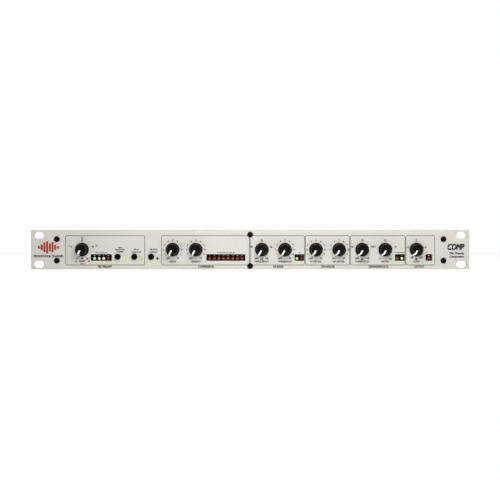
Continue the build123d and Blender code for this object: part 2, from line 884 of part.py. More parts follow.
def make_power_switch():
    """Rocker switch's housing: a bezel outside the wall and a body with the rocker's pocket."""
    with BuildPart() as housing:
        with BuildSketch():
            RectangleRounded(*bezel, 1.5)
        extrude(amount=bezel_thickness)
        fillet(housing.faces().sort_by(Axis.Z)[-1].edges(), 0.7)
        with BuildSketch():
            Rectangle(*switch_body)
        extrude(amount=-switch_body_depth)
        block(
            (-rocker_pocket[0] / 2, rocker_pocket[0] / 2),
            (-rocker_pocket[1] / 2, rocker_pocket[1] / 2),
            (-rocker_pocket_depth, bezel_thickness),
            mode=Mode.SUBTRACT,
        )
        with BuildSketch(Plane.YZ):
            Circle(rocker_pin_radius + rocker_pin_gap)
        extrude(amount=rocker_width / 2 + rocker_pin_length + rocker_pin_gap, both=True, mode=Mode.SUBTRACT)
    return housing.part


def make_power_rocker():
    """Shallow V-topped rocker on two stub pins, at rest with its upper end pressed in."""
    with BuildPart() as rocker:
        with BuildSketch(Plane.YZ.offset(-rocker_width / 2)):
            with BuildLine():
                Polyline(
                    (-rocker_half_length, rocker_end_height),
                    (0, rocker_middle_height),
                    (rocker_half_length, rocker_end_height),
                    (rocker_half_length, -rocker_bottom / 3),
                    (rocker_half_length / 2, -rocker_bottom),
                    (-rocker_half_length / 2, -rocker_bottom),
                    (-rocker_half_length, -rocker_bottom / 3),
                    close=True,
                )
            make_face()
        extrude(amount=rocker_width)
        fillet(rocker.edges().filter_by(Axis.X).group_by(Axis.Z)[-1], 0.5)
        with BuildSketch(Plane.YZ):
            Circle(rocker_pin_radius)
        extrude(amount=rocker_width / 2 + rocker_pin_length, both=True)
    return rocker.part.rotate(Axis.X, -rocker_tilt)


# ---------------------------------------------------------------- audio sockets
def make_mic_socket():
    """Three-pole socket: flange, round body, the groove for a plug's shell and the contact insert."""
    face = mic_flange_thickness
    with BuildPart() as socket:
        with BuildSketch():
            RectangleRounded(*mic_flange, 2.5)
        extrude(amount=face)
        chamfer(socket.faces().sort_by(Axis.Z)[-1].edges(), 0.5)
        with BuildSketch():
            Circle(mic_body_radius)
        extrude(amount=-mic_body_depth)
        with BuildSketch(Plane.XY.offset(face)):
            Circle(mic_groove_outer)
            with Locations((0, -mic_groove_outer)):
                Rectangle(keyway_width, 2 * keyway_depth)
            Circle(mic_groove_inner, mode=Mode.SUBTRACT)
        extrude(amount=-mic_groove_depth, mode=Mode.SUBTRACT)
        with BuildSketch(Plane.XY.offset(face)):
            Circle(mic_groove_inner)
        extrude(amount=-mic_insert_recess, mode=Mode.SUBTRACT)
        with BuildSketch(Plane.XY.offset(face)):
            with Locations(contact_places()):
                Circle(contact_hole_radius)
        extrude(amount=-mic_body_depth - face, mode=Mode.SUBTRACT)
        with BuildSketch(Plane.XY.offset(-mic_body_depth)):
            with Locations(contact_places()):
                Circle(contact_outer_radius + shaft_fit)
        extrude(amount=contact_depth, mode=Mode.SUBTRACT)
        with BuildSketch():
            with Locations((0, latch_y)):
                Rectangle(latch_width + 2 * latch_gap, latch_height + 2 * latch_gap)
        extrude(amount=face, mode=Mode.SUBTRACT)
        with BuildSketch():
            with Locations((-mic_screw_x, -mic_screw_y), (mic_screw_x, mic_screw_y)):
                Circle(clearance_hole_radius)
        extrude(amount=face, mode=Mode.SUBTRACT)
    return socket.part


def contact_places():
    return [Vector(contact_circle, 0, 0).rotate(Axis.Z, angle) for angle in contact_angles]


def make_mic_contacts():
    """Sleeve contacts behind the insert's holes, each with a solder tail."""
    with BuildPart() as contact:
        with BuildSketch(Plane.XY.offset(-mic_body_depth)):
            Circle(contact_outer_radius)
        extrude(amount=contact_depth)
        with BuildSketch(Plane.XY.offset(contact_depth - mic_body_depth)):
            Circle(contact_hole_radius)
        extrude(amount=2 - contact_depth, mode=Mode.SUBTRACT)
        with BuildSketch(Plane.XY.offset(-mic_body_depth)):
            Circle(contact_hole_radius / 2)
        extrude(amount=-contact_tail)
    here = rear(mic_socket_x, socket_z)
    return group([contact.part.moved(here * Location(tuple(place))) for place in contact_places()])


def make_latch():
    """The press tab that frees the microphone plug."""
    with BuildPart() as latch:
        with BuildSketch(Plane.XY.offset(mic_flange_thickness + latch_stand)):
            with Locations((0, latch_y)):
                RectangleRounded(latch_width, latch_height, 0.6)
        extrude(amount=-latch_thickness)
        chamfer(latch.faces().sort_by(Axis.Z)[-1].edges(), 0.3)
    return latch.part


def make_jack():
    """Quarter-inch jack: a body on the main board and a threaded nose through the rear wall."""
    low = board_top - jack_z
    with BuildPart() as jack:
        block(
            (-jack_body_width / 2, jack_body_width / 2),
            (low, jack_body_rise),
            (-tray_sheet - jack_body_depth, -tray_sheet),
        )
        with BuildSketch(Plane.XY.offset(-tray_sheet)):
            Circle(jack_thread_radius)
        extrude(amount=tray_sheet + jack_stand)
        chamfer(jack.faces().sort_by(Axis.Z)[-1].edges(), 0.3)
        with BuildSketch(Plane.XY.offset(jack_stand)):
            Circle(jack_bore_radius)
        extrude(amount=-jack_bore_depth, mode=Mode.SUBTRACT)
    return jack.part


# ---------------------------------------------------------------- power supply
def make_transformer_core():
    """Stacked laminations with two windows beside the centre limb."""
    window_width_x = (core_width - 4 * core_limb) / 2
    with BuildPart() as core:
        with BuildSketch(Plane((transformer_x, transformer_y, transformer_z - core_stack / 2))):
            Rectangle(core_width, core_length)
            with GridLocations(2 * core_limb + window_width_x, 0, 2, 1):
                Rectangle(window_width_x, core_length - 2 * core_limb, mode=Mode.SUBTRACT)
        extrude(amount=core_stack)
    return core.part


def make_transformer_winding():
    """The taped winding around the centre limb."""
    limb = 2 * core_limb + 2 * winding_gap
    stack = core_stack + 2 * winding_gap
    build = winding_build - winding_gap
    length = core_length - 2 * core_limb - 2 * winding_gap
    with BuildPart() as winding:
        rear_end = (transformer_x, transformer_y + length / 2, transformer_z)
        with BuildSketch(Plane(rear_end, x_dir=(1, 0, 0), z_dir=(0, -1, 0))):
            RectangleRounded(limb + 2 * build, stack + 2 * build, 3.0)
            Rectangle(limb, stack, mode=Mode.SUBTRACT)
        extrude(amount=length)
    return winding.part


def make_transformer_bracket():
    """Two folded feet that hold the core by its ends above the floor."""
    low = transformer_z - core_stack / 2
    high = transformer_z + core_stack / 2
    web = core_width / 2
    feet = []
    for side in (-1, 1):
        with BuildPart() as foot:
            along = (transformer_y - core_length / 2, transformer_y + core_length / 2)
            block((web, web + bracket_sheet), along, (floor_top, high + bracket_sheet))
            block((web, web + bracket_foot), along, (floor_top, floor_top + bracket_sheet))
            block((web - bracket_lip, web), along, (high, high + bracket_sheet))
            block((web - bracket_lip, web), along, (low - bracket_sheet, low))
        turned = foot.part if side > 0 else foot.part.mirror(Plane.YZ)
        feet.append(turned.moved(Location((transformer_x, 0, 0))))
    return group(feet)


def standing_can(radius, height, x, y):
    """An electrolytic capacitor standing on a board."""
    with BuildPart() as can:
        with BuildSketch(Plane.XY.offset(board_top)):
            Circle(radius)
        extrude(amount=height)
        fillet(can.faces().sort_by(Axis.Z)[-1].edges(), radius * 0.15)
    return can.part.moved(Location((x, y, 0)))


def make_capacitors():
    """Two reservoir capacitors on the power board and the coupling capacitors on the main board."""
    cans = [standing_can(6.5, 25.0, power_board_left + x, power_board_front + 15) for x in (16.0, 30.5)]
    for i in range(12):
        cans.append(standing_can(3.15, 11.0, -195.0 + i * 33.0, front_strip_depth - 22))
    for i in range(6):
        cans.append(standing_can(4.0, 11.5, -160.0 + i * 38.0, 84.0))
    return group(cans)


def make_integrated_circuits():
    """Dual-in-line amplifiers and gain cells in two rows on the main board."""
    body_x, body_y, body_z = 19.3, 6.4, 3.3
    with BuildPart() as chip:
        with Locations((0, 0, board_top + 0.6 + body_z / 2)):
            Box(body_x, body_y, body_z)
        with Locations((0, 0, board_top + 1.2)):
            with GridLocations(2.54, body_y + leg_thickness, 7, 2):
                Box(leg_width, leg_thickness, 2.4)
    places = [(-175.0 + i * 33.0, front_strip_depth - 14) for i in range(11)]
    places += [(-175.0 + i * 38.0, 72.0) for i in range(6)]
    return group([chip.part.moved(Location((x, y, 0))) for x, y in places])


def make_heat_sink():
    """Finned extrusion that stands on the power board."""
    x, y, length = power_board_right - 26, power_board_front + 12, 34.0
    with BuildPart() as sink:
        block((x - length / 2, x + length / 2), (y, y + 2.5), (board_top, board_top + 22))
        with Locations((x, y - 4, board_top + 11)):
            with GridLocations(length / 7 - 0.3, 0, 8, 1):
                Box(1.2, 8.0, 22.0)
    return sink.part


def make_regulators():
    """Two voltage regulators against the heat sink."""
    x, y = power_board_right - 26, power_board_front + 14.5
    with BuildPart() as regulator:
        block((-5, 5), (y, y + 1.3), (board_top + 4, board_top + 19.5))
        block((-5, 5), (y, y + 4.5), (board_top + 4, board_top + 13))
        with Locations((0, y + 2.4, board_top + 3)):
            with GridLocations(2.54, 0, 3, 1):
                Box(0.8, leg_thickness, 6.0)
    return group([regulator.part.moved(Location((x + side * 8, 0, 0))) for side in (-1, 1)])


def make_mains_fuse():
    """A 20 mm fuse and its two clips on the power board."""
    x, y, z = power_board_left + 42, power_board_rear - 6, board_top + 5
    with BuildPart() as fuse:
        with Locations((x, y, z)):
            Cylinder(2.3, 20.0, rotation=(0, 90, 0))
            with GridLocations(15.0, 1, 2, 1):
                Cylinder(2.6, 5.0, rotation=(0, 90, 0))
    clips = []
    for side in (-1, 1):
        with BuildPart() as clip:
            block((side * 7.5 - 2, side * 7.5 + 2), (-3.2, 3.2), (board_top - z, 0.5))
            with Locations((side * 7.5, 0, 0)):
                Cylinder(2.6 + shaft_fit, 6.0, rotation=(0, 90, 0), mode=Mode.SUBTRACT)
        clips.append(clip.part.moved(Location((x, y, z))))
    return group([fuse.part] + clips)


def make_board_cable():
    """Flat cable that carries the supply and the lamps' current from the power board, and its two plugs."""
    width, thickness = 12.7, 1.0
    y = front_strip_depth - 6
    start_x, end_x = main_board_right + 52, power_board_left + 24
    top = board_top + 15
    plug_height = 6.0
    rear_y = power_board_front + 3
    pieces = []
    for cx, cy in ((start_x, y), (end_x, rear_y)):
        with BuildPart() as plug:
            across = (cx - width / 2, cx + width / 2)
            block(across, (cy - 2.5, cy + 2.5), (board_top, board_top + plug_height))
        pieces.append(plug.part)
    with BuildPart() as ribbon:
        low = board_top + plug_height
        with BuildLine() as path:
            FilletPolyline(
                (start_x, y, low), (start_x, y, top), (end_x, rear_y, top), (end_x, rear_y, low), radius=4.0
            )
        with BuildSketch(Plane(path.line @ 0, x_dir=(rear_y - y, start_x - end_x, 0), z_dir=(0, 0, 1))):
            Rectangle(width * 0.9, thickness)
        sweep()
    return group(pieces + [ribbon.part])


def make_wire(points, bend):
    with BuildPart() as wire:
        with BuildLine() as path:
            FilletPolyline(*points, radius=bend)
        with BuildSketch(Plane(path.line @ 0, z_dir=path.line % 0)):
            Circle(wire_radius)
        sweep()
    return wire.part


def make_internal_wires():
    """Mains wires from the inlet through the switch to the power board, and the transformer's leads."""
    gap = wire_radius + shaft_fit
    inlet_tab_y = body_depth + inlet_flange_thickness - inlet_cavity_depth - inlet_floor
    inlet_tab_y -= tab_length + shaft_fit
    switch_tab_y = body_depth - switch_body_depth - tab_length - shaft_fit
    tab_z = socket_z - blade_offset
    earth_z = socket_z + blade_offset
    low, high = socket_z - switch_tab_offset, socket_z + switch_tab_offset
    left_x, right_x = inlet_x - blade_spacing, inlet_x + blade_spacing
    switch_x, land_x, wall_x = power_switch_x, power_switch_x + 10, side_inside_x - 6
    run_y, land_y = inlet_tab_y - 9, power_board_rear - 3
    wires = [
        [
            (left_x, inlet_tab_y, tab_z),
            (left_x, run_y, tab_z),
            (switch_x, run_y, low),
            (switch_x, switch_tab_y, low),
        ],
        [
            (switch_x, switch_tab_y, high),
            (switch_x, run_y, high),
            (land_x, land_y, high),
            (land_x, land_y, board_top),
        ],
        [
            (right_x, inlet_tab_y, tab_z),
            (right_x, land_y, tab_z),
            (right_x, land_y, board_top),
        ],
        [
            (inlet_x, inlet_tab_y, earth_z),
            (inlet_x, run_y, earth_z),
            (wall_x, run_y, earth_z),
            (wall_x, run_y, floor_top),
        ],
    ]
    lead_x, end_x = transformer_x + 2 * core_limb + gap, power_board_left + 10
    rise = transformer_z + core_stack / 2 + 3
    for i in range(4):
        y = transformer_y - 11 + i * 2.4
        wires.append([(lead_x, y, rise), (end_x, y, rise), (end_x, y, board_top)])
    return group([make_wire(points, 4.0) for points in wires])


# ---------------------------------------------------------------- the assembly
def main():
    os.makedirs("parts", exist_ok=True)
    save(make_front_panel(), "front_panel")
    save(make_chassis_tray(), "chassis_tray")
    save(make_top_cover(), "top_cover")
    panel_screw = make_socket_screw(panel_screw_length)
    save(group([panel_screw.moved(front(x, z)) for x, z in panel_screw_places]), "panel_screws")
    save(make_cover_screws(), "cover_screws")
    save(make_socket_screws(), "socket_screws")

    save(make_main_board(), "main_board")
    save(make_power_board(), "power_board")
    save(make_standoffs(), "board_standoffs")
    save(make_board_screws(), "board_screws")

    knob, shaft, housing = make_knob(), make_shaft(), make_pot_housing()
    for name, x in knob_names_x.items():
        save(knob.moved(front(x, control_z)), f"{name}_knob")
        save(shaft.moved(front(x, control_z)), f"{name}_shaft")
    knob_places = [front(x, control_z) for x in knob_names_x.values()]
    save(group([housing.moved(place) for place in knob_places]), "potentiometer_housings")
    nut = make_nut(pot_nut_across_flats, pot_nut_height, bushing_radius + shaft_fit, washer_thickness)
    washer = make_washer(washer_radius, washer_thickness, bushing_radius + shaft_fit)
    knob_fixings = [piece.moved(place) for place in knob_places for piece in (washer, nut)]
    save(group(knob_fixings), "potentiometer_nuts")

    button, button_switch = make_button(), make_button_switch()
    for name, x in button_names_x.items():
        save(button.moved(front(x, button_z)), f"{name}_button")
    button_places = [front(x, button_z) for x in button_names_x.values()]
    save(group([button_switch.moved(place) for place in button_places]), "button_switches")

    meter_led, flat_led = make_round_led(-lens_thickness - lens_gap), make_flat_led()
    greens = [meter_led.moved(front(x, led_z)) for x in led_places("g")]
    greens += [flat_led.moved(front(lamp_x[name], led_z)) for name in ("g1", "g2")]
    save(group(greens), "green_lamps")
    save(group([meter_led.moved(front(x, led_z)) for x in led_places("y")]), "yellow_lamps")
    reds = [meter_led.moved(front(x, led_z)) for x in led_places("r")]
    save(group(reds + [make_round_led(round_lamp_stand).moved(front(lamp_x["r1"], led_z))]), "red_lamps")
    save(make_led_holders(), "lamp_holders")
    save(make_lenses(), "meter_lenses")

    save(make_mains_inlet().moved(rear(inlet_x, socket_z)), "mains_inlet")
    save(make_mains_contacts(), "mains_contacts")
    save(make_power_switch().moved(rear(power_switch_x, socket_z)), "power_switch_housing")
    save(make_power_rocker().moved(rear(power_switch_x, socket_z)), "power_rocker")
    save(make_mic_socket().moved(rear(mic_socket_x, socket_z)), "mic_socket")
    save(make_mic_contacts(), "mic_socket_contacts")
    save(make_latch().moved(rear(mic_socket_x, socket_z)), "mic_socket_latch")
    jack = make_jack()
    save(group([jack.moved(rear(x, jack_z)) for x in jack_x]), "line_jacks")
    jack_hole = jack_thread_radius + shaft_fit
    jack_nut = make_nut(jack_nut_across_flats, jack_nut_height, jack_hole, jack_washer_thickness)
    jack_washer = make_washer(jack_washer_radius, jack_washer_thickness, jack_hole)
    jack_fixings = [piece.moved(rear(x, jack_z)) for x in jack_x for piece in (jack_washer, jack_nut)]
    save(group(jack_fixings), "jack_nuts")

    save(make_transformer_core(), "transformer_core")
    save(make_transformer_winding(), "transformer_winding")
    save(make_transformer_bracket(), "transformer_bracket")
    save(make_capacitors(), "capacitors")
    save(make_integrated_circuits(), "integrated_circuits")
    save(make_heat_sink(), "heat_sink")
    save(make_regulators(), "voltage_regulators")
    save(make_mains_fuse(), "mains_fuse")
    save(make_board_cable(), "board_cable")
    save(make_internal_wires(), "internal_wires")


main()
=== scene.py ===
"""Looks and studio for a one-unit rack compressor, laid out as an add-on."""

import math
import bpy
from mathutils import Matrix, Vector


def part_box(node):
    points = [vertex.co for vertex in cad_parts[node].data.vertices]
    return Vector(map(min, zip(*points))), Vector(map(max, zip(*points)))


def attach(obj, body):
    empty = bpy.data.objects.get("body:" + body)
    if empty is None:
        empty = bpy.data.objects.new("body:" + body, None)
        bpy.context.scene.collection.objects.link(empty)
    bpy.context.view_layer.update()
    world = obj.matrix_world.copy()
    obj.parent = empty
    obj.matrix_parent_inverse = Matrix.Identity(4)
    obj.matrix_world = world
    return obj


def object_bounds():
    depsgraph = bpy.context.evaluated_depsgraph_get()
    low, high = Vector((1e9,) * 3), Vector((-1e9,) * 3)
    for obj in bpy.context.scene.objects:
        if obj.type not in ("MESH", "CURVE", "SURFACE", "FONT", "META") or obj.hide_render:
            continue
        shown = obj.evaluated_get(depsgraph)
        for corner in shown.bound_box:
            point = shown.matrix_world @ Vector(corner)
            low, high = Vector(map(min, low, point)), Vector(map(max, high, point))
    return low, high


bl_info = {
    "name": "Rack Compressor Looks",
    "version": (1, 0, 0),
    "blender": (4, 5, 0),
    "location": "View3D > Sidebar > Compressor",
    "description": "Finishes, panel printing, pointers and a studio for a rack compressor",
    "category": "Object",
}

import bmesh
import bpy
from bpy.props import FloatProperty, FloatVectorProperty, PointerProperty
from mathutils import Matrix, Vector

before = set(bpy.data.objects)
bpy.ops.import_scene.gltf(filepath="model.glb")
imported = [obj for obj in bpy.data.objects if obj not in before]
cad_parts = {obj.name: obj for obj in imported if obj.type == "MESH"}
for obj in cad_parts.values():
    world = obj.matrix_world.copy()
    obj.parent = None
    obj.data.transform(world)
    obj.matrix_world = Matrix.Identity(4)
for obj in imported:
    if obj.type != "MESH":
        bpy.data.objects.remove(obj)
cad_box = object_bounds()

MM = 0.001
FACE_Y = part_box("front_panel")[0][1]
REAR_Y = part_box("chassis_tray")[1][1]
UNIT = "unit"
KNOBS = (
    "mic_gain",
    "drive",
    "density",
    "de_esser_frequency",
    "de_esser_threshold",
    "low_detail",
    "high_detail",
    "gate_threshold",
    "gate_ratio",
    "output_gain",
)
BUTTONS = ("phantom_power", "low_cut", "bypass")


def srgb(code):
    """An sRGB hex colour as linear values."""
    parts = [int(code[i : i + 2], 16) / 255 for i in (1, 3, 5)]
    return tuple(p / 12.92 if p <= 0.04045 else ((p + 0.055) / 1.055) ** 2.4 for p in parts)


def centre(node):
    """The middle of a CAD node's box."""
    low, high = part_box(node)
    return (Vector(low) + Vector(high)) / 2


KNOB_PLACE = {name: centre(f"{name}_knob") for name in KNOBS}


# ---------------------------------------------------------------- settings
class PrintSettings(bpy.types.PropertyGroup):
    """Sizes and inks of the panel's printing."""

    line_width: FloatProperty(
        name="Frame Line", description="Width of the frames' line", default=0.6 * MM, unit="LENGTH"
    )
    frame_corner: FloatProperty(
        name="Frame Corner", description="Corner radius of the frames", default=2.2 * MM, unit="LENGTH"
    )
    ink_height: FloatProperty(
        name="Ink Height", description="Ink's stand off the metal", default=0.03 * MM, unit="LENGTH"
    )
    number_height: FloatProperty(
        name="Number Height", description="Height of a dial's numbers", default=1.9 * MM, unit="LENGTH"
    )
    legend_height: FloatProperty(
        name="Legend Height", description="Height of a section's name", default=2.2 * MM, unit="LENGTH"
    )
    black: FloatVectorProperty(
        name="Black Ink", description="Numbers, names", default=srgb("#121110"), size=3, subtype="COLOR"
    )
    grey: FloatVectorProperty(
        name="Grey Ink", description="Section frames", default=srgb("#2e2d29"), size=3, subtype="COLOR"
    )
    red: FloatVectorProperty(
        name="Red Ink", description="Emblem, second scale", default=srgb("#a00806"), size=3, subtype="COLOR"
    )
    white: FloatVectorProperty(
        name="White Ink", description="Marks on black", default=srgb("#e4e4de"), size=3, subtype="COLOR"
    )


class FinishSettings(bpy.types.PropertyGroup):
    """Colours of the case and its controls."""

    panel: FloatVectorProperty(
        name="Panel Enamel", description="Front panel", default=srgb("#c3c1b8"), size=3, subtype="COLOR"
    )
    case: FloatVectorProperty(
        name="Case Coat", description="Tray and top cover", default=srgb("#1a1a1c"), size=3, subtype="COLOR"
    )
    knob: FloatVectorProperty(
        name="Knob", description="Moulded knobs", default=srgb("#0d0d0c"), size=3, subtype="COLOR"
    )
    pointer: FloatVectorProperty(
        name="Pointer", description="Line on a knob", default=srgb("#f4f3ee"), size=3, subtype="COLOR"
    )
    # Lamp Glow also scales the painted glow of the unlit red lamps.
    glow: FloatProperty(
        name="Lamp Glow", description="Strength of the lit lamps", default=1.0, min=0.0, max=20.0
    )


class StudioSettings(bpy.types.PropertyGroup):
    """Light and camera."""

    lens: FloatProperty(
        name="Lens", description="Focal length", default=84.0, min=20.0, max=500.0, unit="CAMERA"
    )
    view_width: FloatProperty(
        name="View Width", description="Width seen at the panel", default=0.5504, min=0.1, unit="LENGTH"
    )
    key_power: FloatProperty(
        name="Key Power", description="Front light", default=4.2, min=0.0, unit="POWER"
    )
    top_power: FloatProperty(
        name="Top Power", description="Overhead light", default=4.0, min=0.0, unit="POWER"
    )
    ambient: FloatProperty(
        name="Ambient", description="Strength of the light from all round", default=0.11, min=0.0
    )
    floor: FloatVectorProperty(
        name="Floor", description="Paper sweep", default=srgb("#fbfbfa"), size=3, subtype="COLOR"
    )


# ---------------------------------------------------------------- materials
NOISE_LOW, NOISE_HIGH = 0.3, 0.7  # nearly all of a noise texture's values lie between these


def add_node(tree, kind, settings=None, links=None):
    """Adds one node, gives it its settings and links its inputs to other nodes' outputs."""
    made = tree.nodes.new(kind)
    for name, value in (settings or {}).items():
        if isinstance(name, str) and hasattr(made, name):
            setattr(made, name, value)
        else:
            made.inputs[name].default_value = value
    for name, source in (links or {}).items():
        tree.links.new(source, made.inputs[name])
    return made


def blank(name, roughness, metallic=0.0, **sockets):
    """A new material with one Principled shader; returns it, its tree, its shader and Object coordinates."""
    material = bpy.data.materials.new(name)
    material.use_nodes = True
    tree = material.node_tree
    tree.nodes.clear()
    settings = {"Roughness": roughness, "Metallic": metallic}
    settings.update({key.replace("_", " "): value for key, value in sockets.items()})
    shader = add_node(tree, "ShaderNodeBsdfPrincipled", settings)
    add_node(tree, "ShaderNodeOutputMaterial", links={"Surface": shader.outputs["BSDF"]})
    place = add_node(tree, "ShaderNodeTexCoord").outputs["Object"]
    return material, tree, shader, place


def textured(name, colour, spread, grain, roughness, relief=None, metallic=0.0, **sockets):
    """A material whose colour, roughness and relief vary with a grain given in millimetres.

    spread is how far the colour swings each way as a share, roughness is (low, high), and relief is
    (its own grain, its depth), both in millimetres.
    """
    material, tree, shader, place = blank(name, roughness[0], metallic, **sockets)
    noise = add_node(
        tree,
        "ShaderNodeTexNoise",
        {"Scale": 1 / (grain * MM), "Detail": 3.0, "Roughness": 0.6},
        {"Vector": place},
    ).outputs["Fac"]
    ramp = add_node(tree, "ShaderNodeValToRGB", links={"Fac": noise})
    low, high = ramp.color_ramp.elements
    low.position, high.position = NOISE_LOW, NOISE_HIGH
    low.color = (*[max(c * (1 - spread), 0) for c in colour], 1)
    high.color = (*[min(c * (1 + spread), 1) for c in colour], 1)
    tree.links.new(ramp.outputs["Color"], shader.inputs["Base Color"])
    rough = add_node(
        tree,
        "ShaderNodeMapRange",
        {
            "From Min": NOISE_LOW,
            "From Max": NOISE_HIGH,
            "To Min": roughness[0],
            "To Max": roughness[1],
        },
        {"Value": noise},
    )
    tree.links.new(rough.outputs["Result"], shader.inputs["Roughness"])
    if relief:
        bumps = add_node(
            tree,
            "ShaderNodeTexNoise",
            {"Scale": 1 / (relief[0] * MM), "Detail": 2.0},
            {"Vector": place},
        ).outputs["Fac"]
        bump = add_node(
            tree, "ShaderNodeBump", {"Strength": 1.0, "Distance": relief[1] * MM}, {"Height": bumps}
        )
        tree.links.new(bump.outputs["Normal"], shader.inputs["Normal"])
    return material


def plain_ink(name, colour):
    """Screen-printed epoxy ink: even colour with a faint mottle from the mesh, and a satin surface."""
    return textured(name, colour, 0.06, 0.8, (0.5, 0.6), (0.25, 0.003))


def assign(nodes, material):
    """Gives CAD nodes a material, in their own slots."""
    for name in nodes:
        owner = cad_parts[name]
        if not owner.material_slots:
            owner.data.materials.append(material)
        for index in range(len(owner.material_slots)):
            owner.material_slots[index].material = material


# ---------------------------------------------------------------- mesh helpers
def piece(name, made, material, body=UNIT):
    """Turns a finished bmesh into a named piece that rides on a body."""
    bmesh.ops.remove_doubles(made, verts=made.verts[:], dist=1e-7)
    bmesh.ops.recalc_face_normals(made, faces=made.faces[:])
    mesh = bpy.data.meshes.new(name)
    made.to_mesh(mesh)
    made.free()
    mesh.materials.append(material)
    made_piece = bpy.data.objects.new(name, mesh)
    bpy.context.scene.collection.objects.link(made_piece)
    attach(made_piece, body)
    return made_piece


def pour(source, target, place=None):
    """Adds one bmesh to another, moved by a matrix, and frees it."""
    if place is not None:
        bmesh.ops.transform(source, matrix=place, verts=source.verts[:])
    mesh = bpy.data.meshes.new("poured")
    source.to_mesh(mesh)
    source.free()
    target.from_mesh(mesh)
    bpy.data.meshes.remove(mesh)


def thicken(flat, height):
    """Gives flat shapes, which face +Z on the XY plane, a body of that height below them."""
    bmesh.ops.remove_doubles(flat, verts=flat.verts[:], dist=1e-7)
    faces = flat.faces[:]
    raised = bmesh.ops.extrude_face_region(flat, geom=faces, use_keep_orig=True)
    moved = [part for part in raised["geom"] if isinstance(part, bmesh.types.BMVert)]
    bmesh.ops.translate(flat, verts=moved, vec=(0, 0, -height))


def on_face(x=0.0, z=0.0, lift=0.0):
    """The place of flat work on the panel's face: its X to the right, its Y up, facing forwards."""
    return Matrix.Translation((x, FACE_Y - lift, z)) @ Matrix.Rotation(math.radians(90), 4, "X")


def on_rear(x=0.0, z=0.0, lift=0.0):
    """The place of flat work on the rear wall, upright as seen from behind."""
    turn = Matrix.Rotation(math.radians(180), 4, "Z") @ Matrix.Rotation(math.radians(90), 4, "X")
    return Matrix.Translation((x, REAR_Y + lift, z)) @ turn


CAPITAL = 0.682  # height of a capital in the built-in typeface, as a share of its size
HALF_LETTER = 0.4  # half the width of a letter or number, as a share of its height
COPY_DROP = 0.003 * MM  # how much lower each copy in bold lettering lies than the one before
SUNK = 0.005 * MM  # how deep flat work is set into the face under it


def letter(target, words, x, y, height, width=None, narrow=0.9, bold=0.0, slant=0.0, align="CENTER"):
    """Adds flat lettering to a bmesh on the XY plane, with x, y at the middle of its capitals.

    width, where it is given, sets how wide the words are; otherwise they are set a little narrow. bold
    is how much thicker the strokes are made, as a share of the letters' size.
    """
    curve = bpy.data.curves.new("lettering", "FONT")
    curve.body = words
    curve.size = 1.0
    curve.resolution_u = 3
    curve.shear = slant
    holder = bpy.data.objects.new("lettering", curve)
    bpy.context.scene.collection.objects.link(holder)
    bpy.context.view_layer.update()
    mesh = bpy.data.meshes.new_from_object(holder)
    bpy.data.objects.remove(holder)
    bpy.data.curves.remove(curve)
    across = [v.co.x for v in mesh.vertices]
    left, right = min(across), max(across)
    size = height / CAPITAL
    stretch = width / (right - left) if width else size * narrow
    anchor = {"CENTER": (left + right) / 2, "RIGHT": right}[align]
    mesh.transform(Matrix.Diagonal((stretch, size, 1, 1)) @ Matrix.Translation((-anchor, -CAPITAL / 2, 0)))
    mesh.transform(Matrix.Translation((x - bold * size / 2, y - bold * size / 2, 0)))
    target.from_mesh(mesh)
    # Bold is four copies round a small square, each a hair lower, so that no two faces share a place.
    for aside, up in ((1, 0), (0, 1), (-1, 0)) if bold else ():
        mesh.transform(Matrix.Translation((aside * bold * size, up * bold * size, -COPY_DROP)))
        target.from_mesh(mesh)
    bpy.data.meshes.remove(mesh)


def bar(target, x, y, width, height, corner=0.0, turn=0.0):
    """Adds a flat bar, with rounded corners if asked, to a bmesh on the XY plane."""
    made = bmesh.new()
    bmesh.ops.create_grid(made, x_segments=1, y_segments=1, size=0.5)
    bmesh.ops.scale(made, vec=(width, height, 1), verts=made.verts[:])
    if corner:
        bmesh.ops.bevel(
            made,
            geom=made.verts[:],
            offset=corner,
            affect="VERTICES",
            segments=6,
            profile=0.5,
            material=-1,
        )
    place = Matrix.Translation((x, y, 0)) @ Matrix.Rotation(math.radians(turn), 4, "Z")
    pour(made, target, place)


def outline(target, left, right, bottom, top, corner, line):
    """Adds a rounded frame to a bmesh on the XY plane."""
    made = bmesh.new()
    bar(made, (left + right) / 2, (bottom + top) / 2, right - left, top - bottom, corner)
    inner = made.faces[:]
    bmesh.ops.inset_region(made, faces=inner, thickness=line, use_boundary=True, use_even_offset=True)
    bmesh.ops.delete(made, geom=inner, context="FACES")
    pour(made, target)


# ---------------------------------------------------------------- panel layout, in millimetres
SECTIONS = (  # name, its middle, the frame's left and right
    ("MIC PREAMP", -160.0, -203.5, -115.75),
    ("COMPRESSOR", -48.7, -97.85, -0.45),
    ("DE-ESSER", 30.9, -0.15, 60.15),
    ("ENHANCER", 85.7, 60.45, 109.75),
    ("EXPANDER/GATE", 141.2, 110.05, 170.85),
    ("OUTPUT", 186.1, 171.15, 203.4),
)
FRAME_TOP, FRAME_BOTTOM, SECTION_NAME_Z = 16.05, -16.95, -18.5

